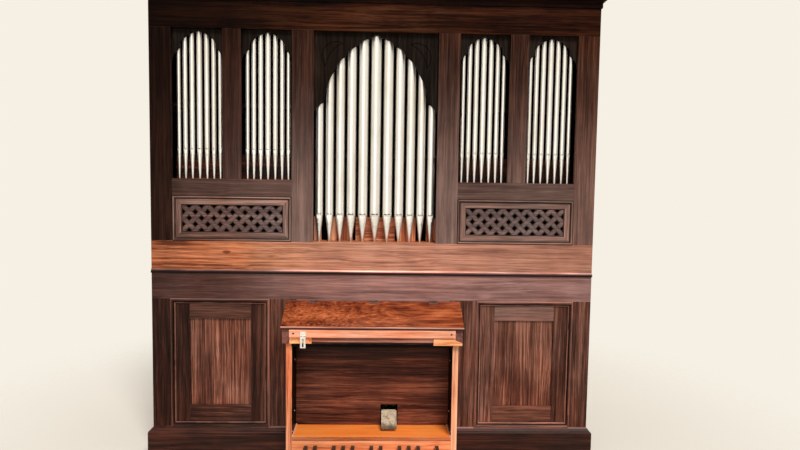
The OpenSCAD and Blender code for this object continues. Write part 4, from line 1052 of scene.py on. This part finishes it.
def hasp_screws():
    """Two screws in the hasp's plate."""
    low, high = box("hasp_strap")
    front = box("lid_rail")[0].y - 0.003
    return [
        (((low.x + high.x) / 2 + shift, front, high.z + 0.0162), (0, -1, 0), PLATE_SCREW)
        for shift in (-0.011, 0.011)
    ]


def rail_screws():
    """Dark screws near the lid rail's ends."""
    low, high = box("lid_rail")
    return [
        ((side * (high.x - 0.028), low.y, low.z + 0.026), (0, -1, 0), RAIL_SCREW)
        for side in (-1, 1)
    ]


def seam_places(node):
    """Where each pipe's seam lies: its middle, its direction and its radius."""
    data = NODES[node].data
    foot = FOOT_CENTRE if node == "pipes_centre" else FOOT_SIDE
    height = min(v.co.z for v in data.vertices) + foot - SEAM_BELOW_MOUTH
    bm = bmesh.new()
    bm.from_mesh(data)
    bmesh.ops.remove_doubles(bm, verts=bm.verts, dist=1e-6)
    places = []
    for pipe in whole_boards(bm):
        xs = [v.co.x for v in pipe]
        radius = (max(xs) - min(xs)) / 2
        middle = ((max(xs) + min(xs)) / 2, max(v.co.y for v in pipe) - radius, height)
        places.append((middle, (0, 0, 1), radius))
    bm.free()
    return places


def points_piece(name, body, places, tree, values):
    """A piece that the given node tree makes on points with a direction and a size each."""
    mesh = bpy.data.meshes.new(name)
    mesh.from_pydata([p[0] for p in places], [], [])
    # A new attribute can move the ones before it, so each is filled before the next is made
    facing = mesh.attributes.new("facing", "FLOAT_VECTOR", "POINT")
    facing.data.foreach_set("vector", [c for p in places for c in p[1]])
    size = mesh.attributes.new("size", "FLOAT", "POINT")
    size.data.foreach_set("value", [p[2] for p in places])
    obj = new_object(name, mesh)
    modifier = obj.modifiers.new("Shape", "NODES")
    modifier.node_group = tree
    for item in tree.interface.items_tree:
        if item.in_out == "INPUT" and item.name in values:
            modifier[item.identifier] = values[item.name]
    applied(obj)
    if not obj.data.polygons:
        raise RuntimeError(f"{name} came out empty")
    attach(obj, body)
    return obj


def shape_tree(name, inputs):
    """An empty Geometry Nodes tree with its points and the given named inputs."""
    group = bpy.data.node_groups.new(name, "GeometryNodeTree")
    group.interface.new_socket("Points", in_out="INPUT", socket_type="NodeSocketGeometry")
    for label, kind, default in inputs:
        made = group.interface.new_socket(label, in_out="INPUT", socket_type=f"NodeSocket{kind}")
        if default is not None:
            made.default_value = default
    group.interface.new_socket("Shape", in_out="OUTPUT", socket_type="NodeSocketGeometry")
    tree = Tree(group)
    return tree, tree.node("NodeGroupInput", None, None, "Points")


def shape_end(tree, geometry, finish):
    """Ends a tree in real geometry with its finish."""
    real = tree.node("GeometryNodeRealizeInstances", None, {"Geometry": geometry})
    painted = tree.node("GeometryNodeSetMaterial", None, {"Geometry": real, "Material": finish})
    out = tree.tree.nodes.new("NodeGroupOutput")
    tree.put(out.inputs["Shape"], painted)
    return tree.tree


def named(tree, name, kind):
    """An attribute of the points."""
    return tree.node(
        "GeometryNodeInputNamedAttribute", {"data_type": kind}, {"Name": name}, "Attribute",
    )


def screw_tree():
    """Slotted screw heads, each turned by chance and facing its own way."""
    tree, points = shape_tree("Screw heads", [
        ("Slot", "Float", 0.2), ("Finish", "Material", None), ("Seed", "Int", SCREW_SEED),
    ])
    head = tree.node("GeometryNodeMeshCone", None, {
        "Vertices": 20, "Radius Top": 0.36, "Radius Bottom": 0.5, "Depth": 0.14,
    }, "Mesh")
    size = tree.xyz(1.2, points.out("Slot") * 0.5, 0.1)
    blade = tree.node("GeometryNodeMeshCube", None, {"Size": size}, "Mesh")
    blade = tree.node("GeometryNodeTransform", None, {
        "Geometry": blade, "Translation": (0, 0, 0.14),
    })
    cut = tree.node("GeometryNodeMeshBoolean", {"operation": "DIFFERENCE", "solver": "EXACT"}, {
        "Mesh 1": head, "Mesh 2": blade,
    }, "Mesh")
    turn = tree.node("FunctionNodeAlignRotationToVector", {"axis": "Z"}, {
        "Vector": named(tree, "facing", "FLOAT_VECTOR"),
    })
    chance = tree.node("FunctionNodeRandomValue", {"data_type": "FLOAT"}, {
        "Max": math.pi, "Seed": points.out("Seed"),
    }, 1)
    spun = tree.node("FunctionNodeRotateRotation", {"rotation_space": "LOCAL"}, {
        "Rotation": turn, "Rotate By": tree.node("FunctionNodeEulerToRotation", None, {
            "Euler": tree.xyz(0, 0, chance),
        }),
    })
    placed = tree.node("GeometryNodeInstanceOnPoints", None, {
        "Points": points, "Instance": cut, "Rotation": spun, "Scale": named(tree, "size", "FLOAT"),
    })
    return shape_end(tree, placed, points.out("Finish"))


def seam_tree():
    """Wire rings that follow a pipe's round back and its flattened front."""
    tree, points = shape_tree("Pipe seams", [
        ("Wire", "Float", 0.02), ("Finish", "Material", None),
    ])
    ring = tree.node("GeometryNodeCurvePrimitiveCircle", {"mode": "RADIUS"}, {
        "Resolution": 36, "Radius": 0.995,
    }, "Curve")
    x, y, z = tree.axes(tree.node("GeometryNodeInputPosition"))
    flat = y.maths("MAXIMUM", y, -0.82)
    ring = tree.node("GeometryNodeSetPosition", None, {
        "Geometry": ring, "Position": tree.xyz(x, flat, z),
    })
    wire = tree.node("GeometryNodeCurvePrimitiveCircle", {"mode": "RADIUS"}, {
        "Resolution": 6, "Radius": points.out("Wire"),
    }, "Curve")
    tube = tree.node("GeometryNodeCurveToMesh", None, {"Curve": ring, "Profile Curve": wire})
    placed = tree.node("GeometryNodeInstanceOnPoints", None, {
        "Points": points, "Instance": tube, "Scale": named(tree, "size", "FLOAT"),
    })
    return shape_end(tree, placed, points.out("Finish"))


# ------------------ stage

FLOOR_HALF = 40                       # half the floor's side
FLOOR_FADE = (1.6, -0.6)              # where it is gone and where it is whole, from its reach
LIGHT_TONE = (1.0, 0.97, 0.93)
SKY_TONE = (1, 0.985, 0.96, 1)
KEY_WIDTH = 22                        # of the far light, in degrees
KEY_PLACE, KEY_TARGET = (2.2, -6.6, 9.0), (0, 0, 1.1)
FILL_SIZE = 3.6
FILL_PLACE, FILL_TARGET = (-1.2, -6.6, 2.4), (0, 0, 1.3)
CAMERA_PLACE = (0.054, -4.199, 1.9665)
CAMERA_TURN = (1.702, 3.928, 0.862)   # to the right, down and rolled, in degrees
CAMERA_LENS, CAMERA_SENSOR = 27, 36   # in millimetres
CAMERA_CLIP = (0.05, 200)


class ORGAN_OT_stage(OrganOperator, bpy.types.Operator):
    """Sets the floor, the background, the light and the camera"""
    bl_idname = "organ.stage"
    bl_label = "Stage"

    def execute(self, context):
        scene = context.scene
        group = scene.organ_stage
        scene.view_settings.view_transform = "Standard"
        self.floor(group)
        self.world(scene, group)
        key = bpy.data.lights.new("key", "SUN")
        key.angle = math.radians(KEY_WIDTH)
        self.lamp(key, KEY_PLACE, KEY_TARGET, group.key)
        fill = bpy.data.lights.new("fill", "AREA")
        fill.shape = "SQUARE"
        fill.size = FILL_SIZE
        self.lamp(fill, FILL_PLACE, FILL_TARGET, group.fill)
        self.camera(scene)
        return {"FINISHED"}

    def floor(self, group):
        """A wide floor that fades away round the organ."""
        half = FLOOR_HALF
        floor = bpy.data.meshes.new("floor")
        floor.from_pydata(
            [(-half, -half, 0), (half, -half, 0), (half, half, 0), (-half, half, 0)],
            [], [(0, 1, 2, 3)],
        )
        plain = Finish("floor_plain")
        cloud = plain.noise(plain.place(), scale=0.7, detail=3)
        x, y, _ = plain.axes(plain.place())
        middle = box("roof")[1].y / 2
        away = (x.power(2) + (y - middle).power(2)).power(0.5)
        gone, whole = (group.floor_reach + step for step in FLOOR_FADE)
        floor.materials.append(plain.surface(
            Base_Color=plain.mix(cloud, times(group.floor, 0.97), tuple(group.floor)),
            Roughness=0.8, Specular_IOR_Level=0.1, Alpha=away.span(gone, whole),
        ))
        new_object("floor", floor)

    def world(self, scene, group):
        """A pale background that the camera and reflections see, and a softer sky for light."""
        world = bpy.data.worlds.new("backdrop")
        world.use_nodes = True
        scene.world = world
        tree = Tree(world.node_tree)
        ray = tree.node("ShaderNodeLightPath", None, None, "Is Camera Ray")
        seen = ray.maths("MAXIMUM", ray, ray.out("Is Glossy Ray"))
        seen = seen.maths("MAXIMUM", seen, ray.out("Is Transmission Ray"))
        sky = tree.node("ShaderNodeBackground", None, {
            "Color": SKY_TONE, "Strength": group.sky,
        })
        pale = tree.node("ShaderNodeBackground", None, {
            "Color": (*group.backdrop, 1), "Strength": 1.0,
        })
        mixed = tree.node("ShaderNodeMixShader", None, {0: seen, 1: sky, 2: pale})
        tree.node("ShaderNodeOutputWorld", None, {"Surface": mixed})

    def lamp(self, lamp, place, target, power):
        """A lamp that looks from its place at its target."""
        lamp.energy = power
        lamp.color = LIGHT_TONE
        obj = new_object(lamp.name, lamp)
        obj.location = place
        obj.rotation_euler = (Vector(target) - Vector(place)).to_track_quat("-Z", "Y").to_euler()

    def camera(self, scene):
        """The photograph's own viewpoint."""
        data = bpy.data.cameras.new("camera")
        data.sensor_fit = "HORIZONTAL"
        data.sensor_width = CAMERA_SENSOR
        data.lens = CAMERA_LENS
        data.clip_start, data.clip_end = CAMERA_CLIP
        obj = new_object("camera", data)
        yaw, pitch, roll = (math.radians(angle) for angle in CAMERA_TURN)
        ahead = Vector((
            math.sin(yaw) * math.cos(pitch), math.cos(yaw) * math.cos(pitch), -math.sin(pitch)
        ))
        right = Vector((math.cos(yaw), -math.sin(yaw), 0))
        up = right.cross(ahead)
        turned_right = right * math.cos(roll) + up * math.sin(roll)
        turned_up = up * math.cos(roll) - right * math.sin(roll)
        turn = Matrix((turned_right, turned_up, -ahead)).transposed()
        obj.matrix_world = Matrix.Translation(CAMERA_PLACE) @ turn.to_4x4()
        scene.camera = obj


class ORGAN_PT_finishes(bpy.types.Panel):
    """Lists the steps in the 3D view's sidebar"""
    bl_idname = "ORGAN_PT_finishes"
    bl_label = "Pipe organ"
    bl_space_type = "VIEW_3D"
    bl_region_type = "UI"
    bl_category = "Organ"

    def draw(self, context):
        column = self.layout.column()
        for step in STEPS:
            column.operator(step.bl_idname)


GROUPS = {
    "organ_woods": OrganWoods,
    "organ_pipes": OrganPipes,
    "organ_fittings": OrganFittings,
    "organ_stage": OrganStage,
}
STEPS = (
    ORGAN_OT_stage, ORGAN_OT_upper_case, ORGAN_OT_lower_case, ORGAN_OT_case_shell, ORGAN_OT_pipes,
    ORGAN_OT_console, ORGAN_OT_lid, ORGAN_OT_pedals, ORGAN_OT_fittings,
)
CLASSES = (*GROUPS.values(), *STEPS, ORGAN_PT_finishes)


def register():
    for cls in CLASSES:
        bpy.utils.register_class(cls)
    for name, group in GROUPS.items():
        setattr(bpy.types.Scene, name, bpy.props.PointerProperty(type=group))


def unregister():
    for name in GROUPS:
        delattr(bpy.types.Scene, name)
    for cls in reversed(CLASSES):
        bpy.utils.unregister_class(cls)


def main():
    """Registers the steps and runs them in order."""
    register()
    for step in STEPS:
        group, name = step.bl_idname.split(".")
        getattr(getattr(bpy.ops, group), name)()


if __name__ == "__main__":
    main()
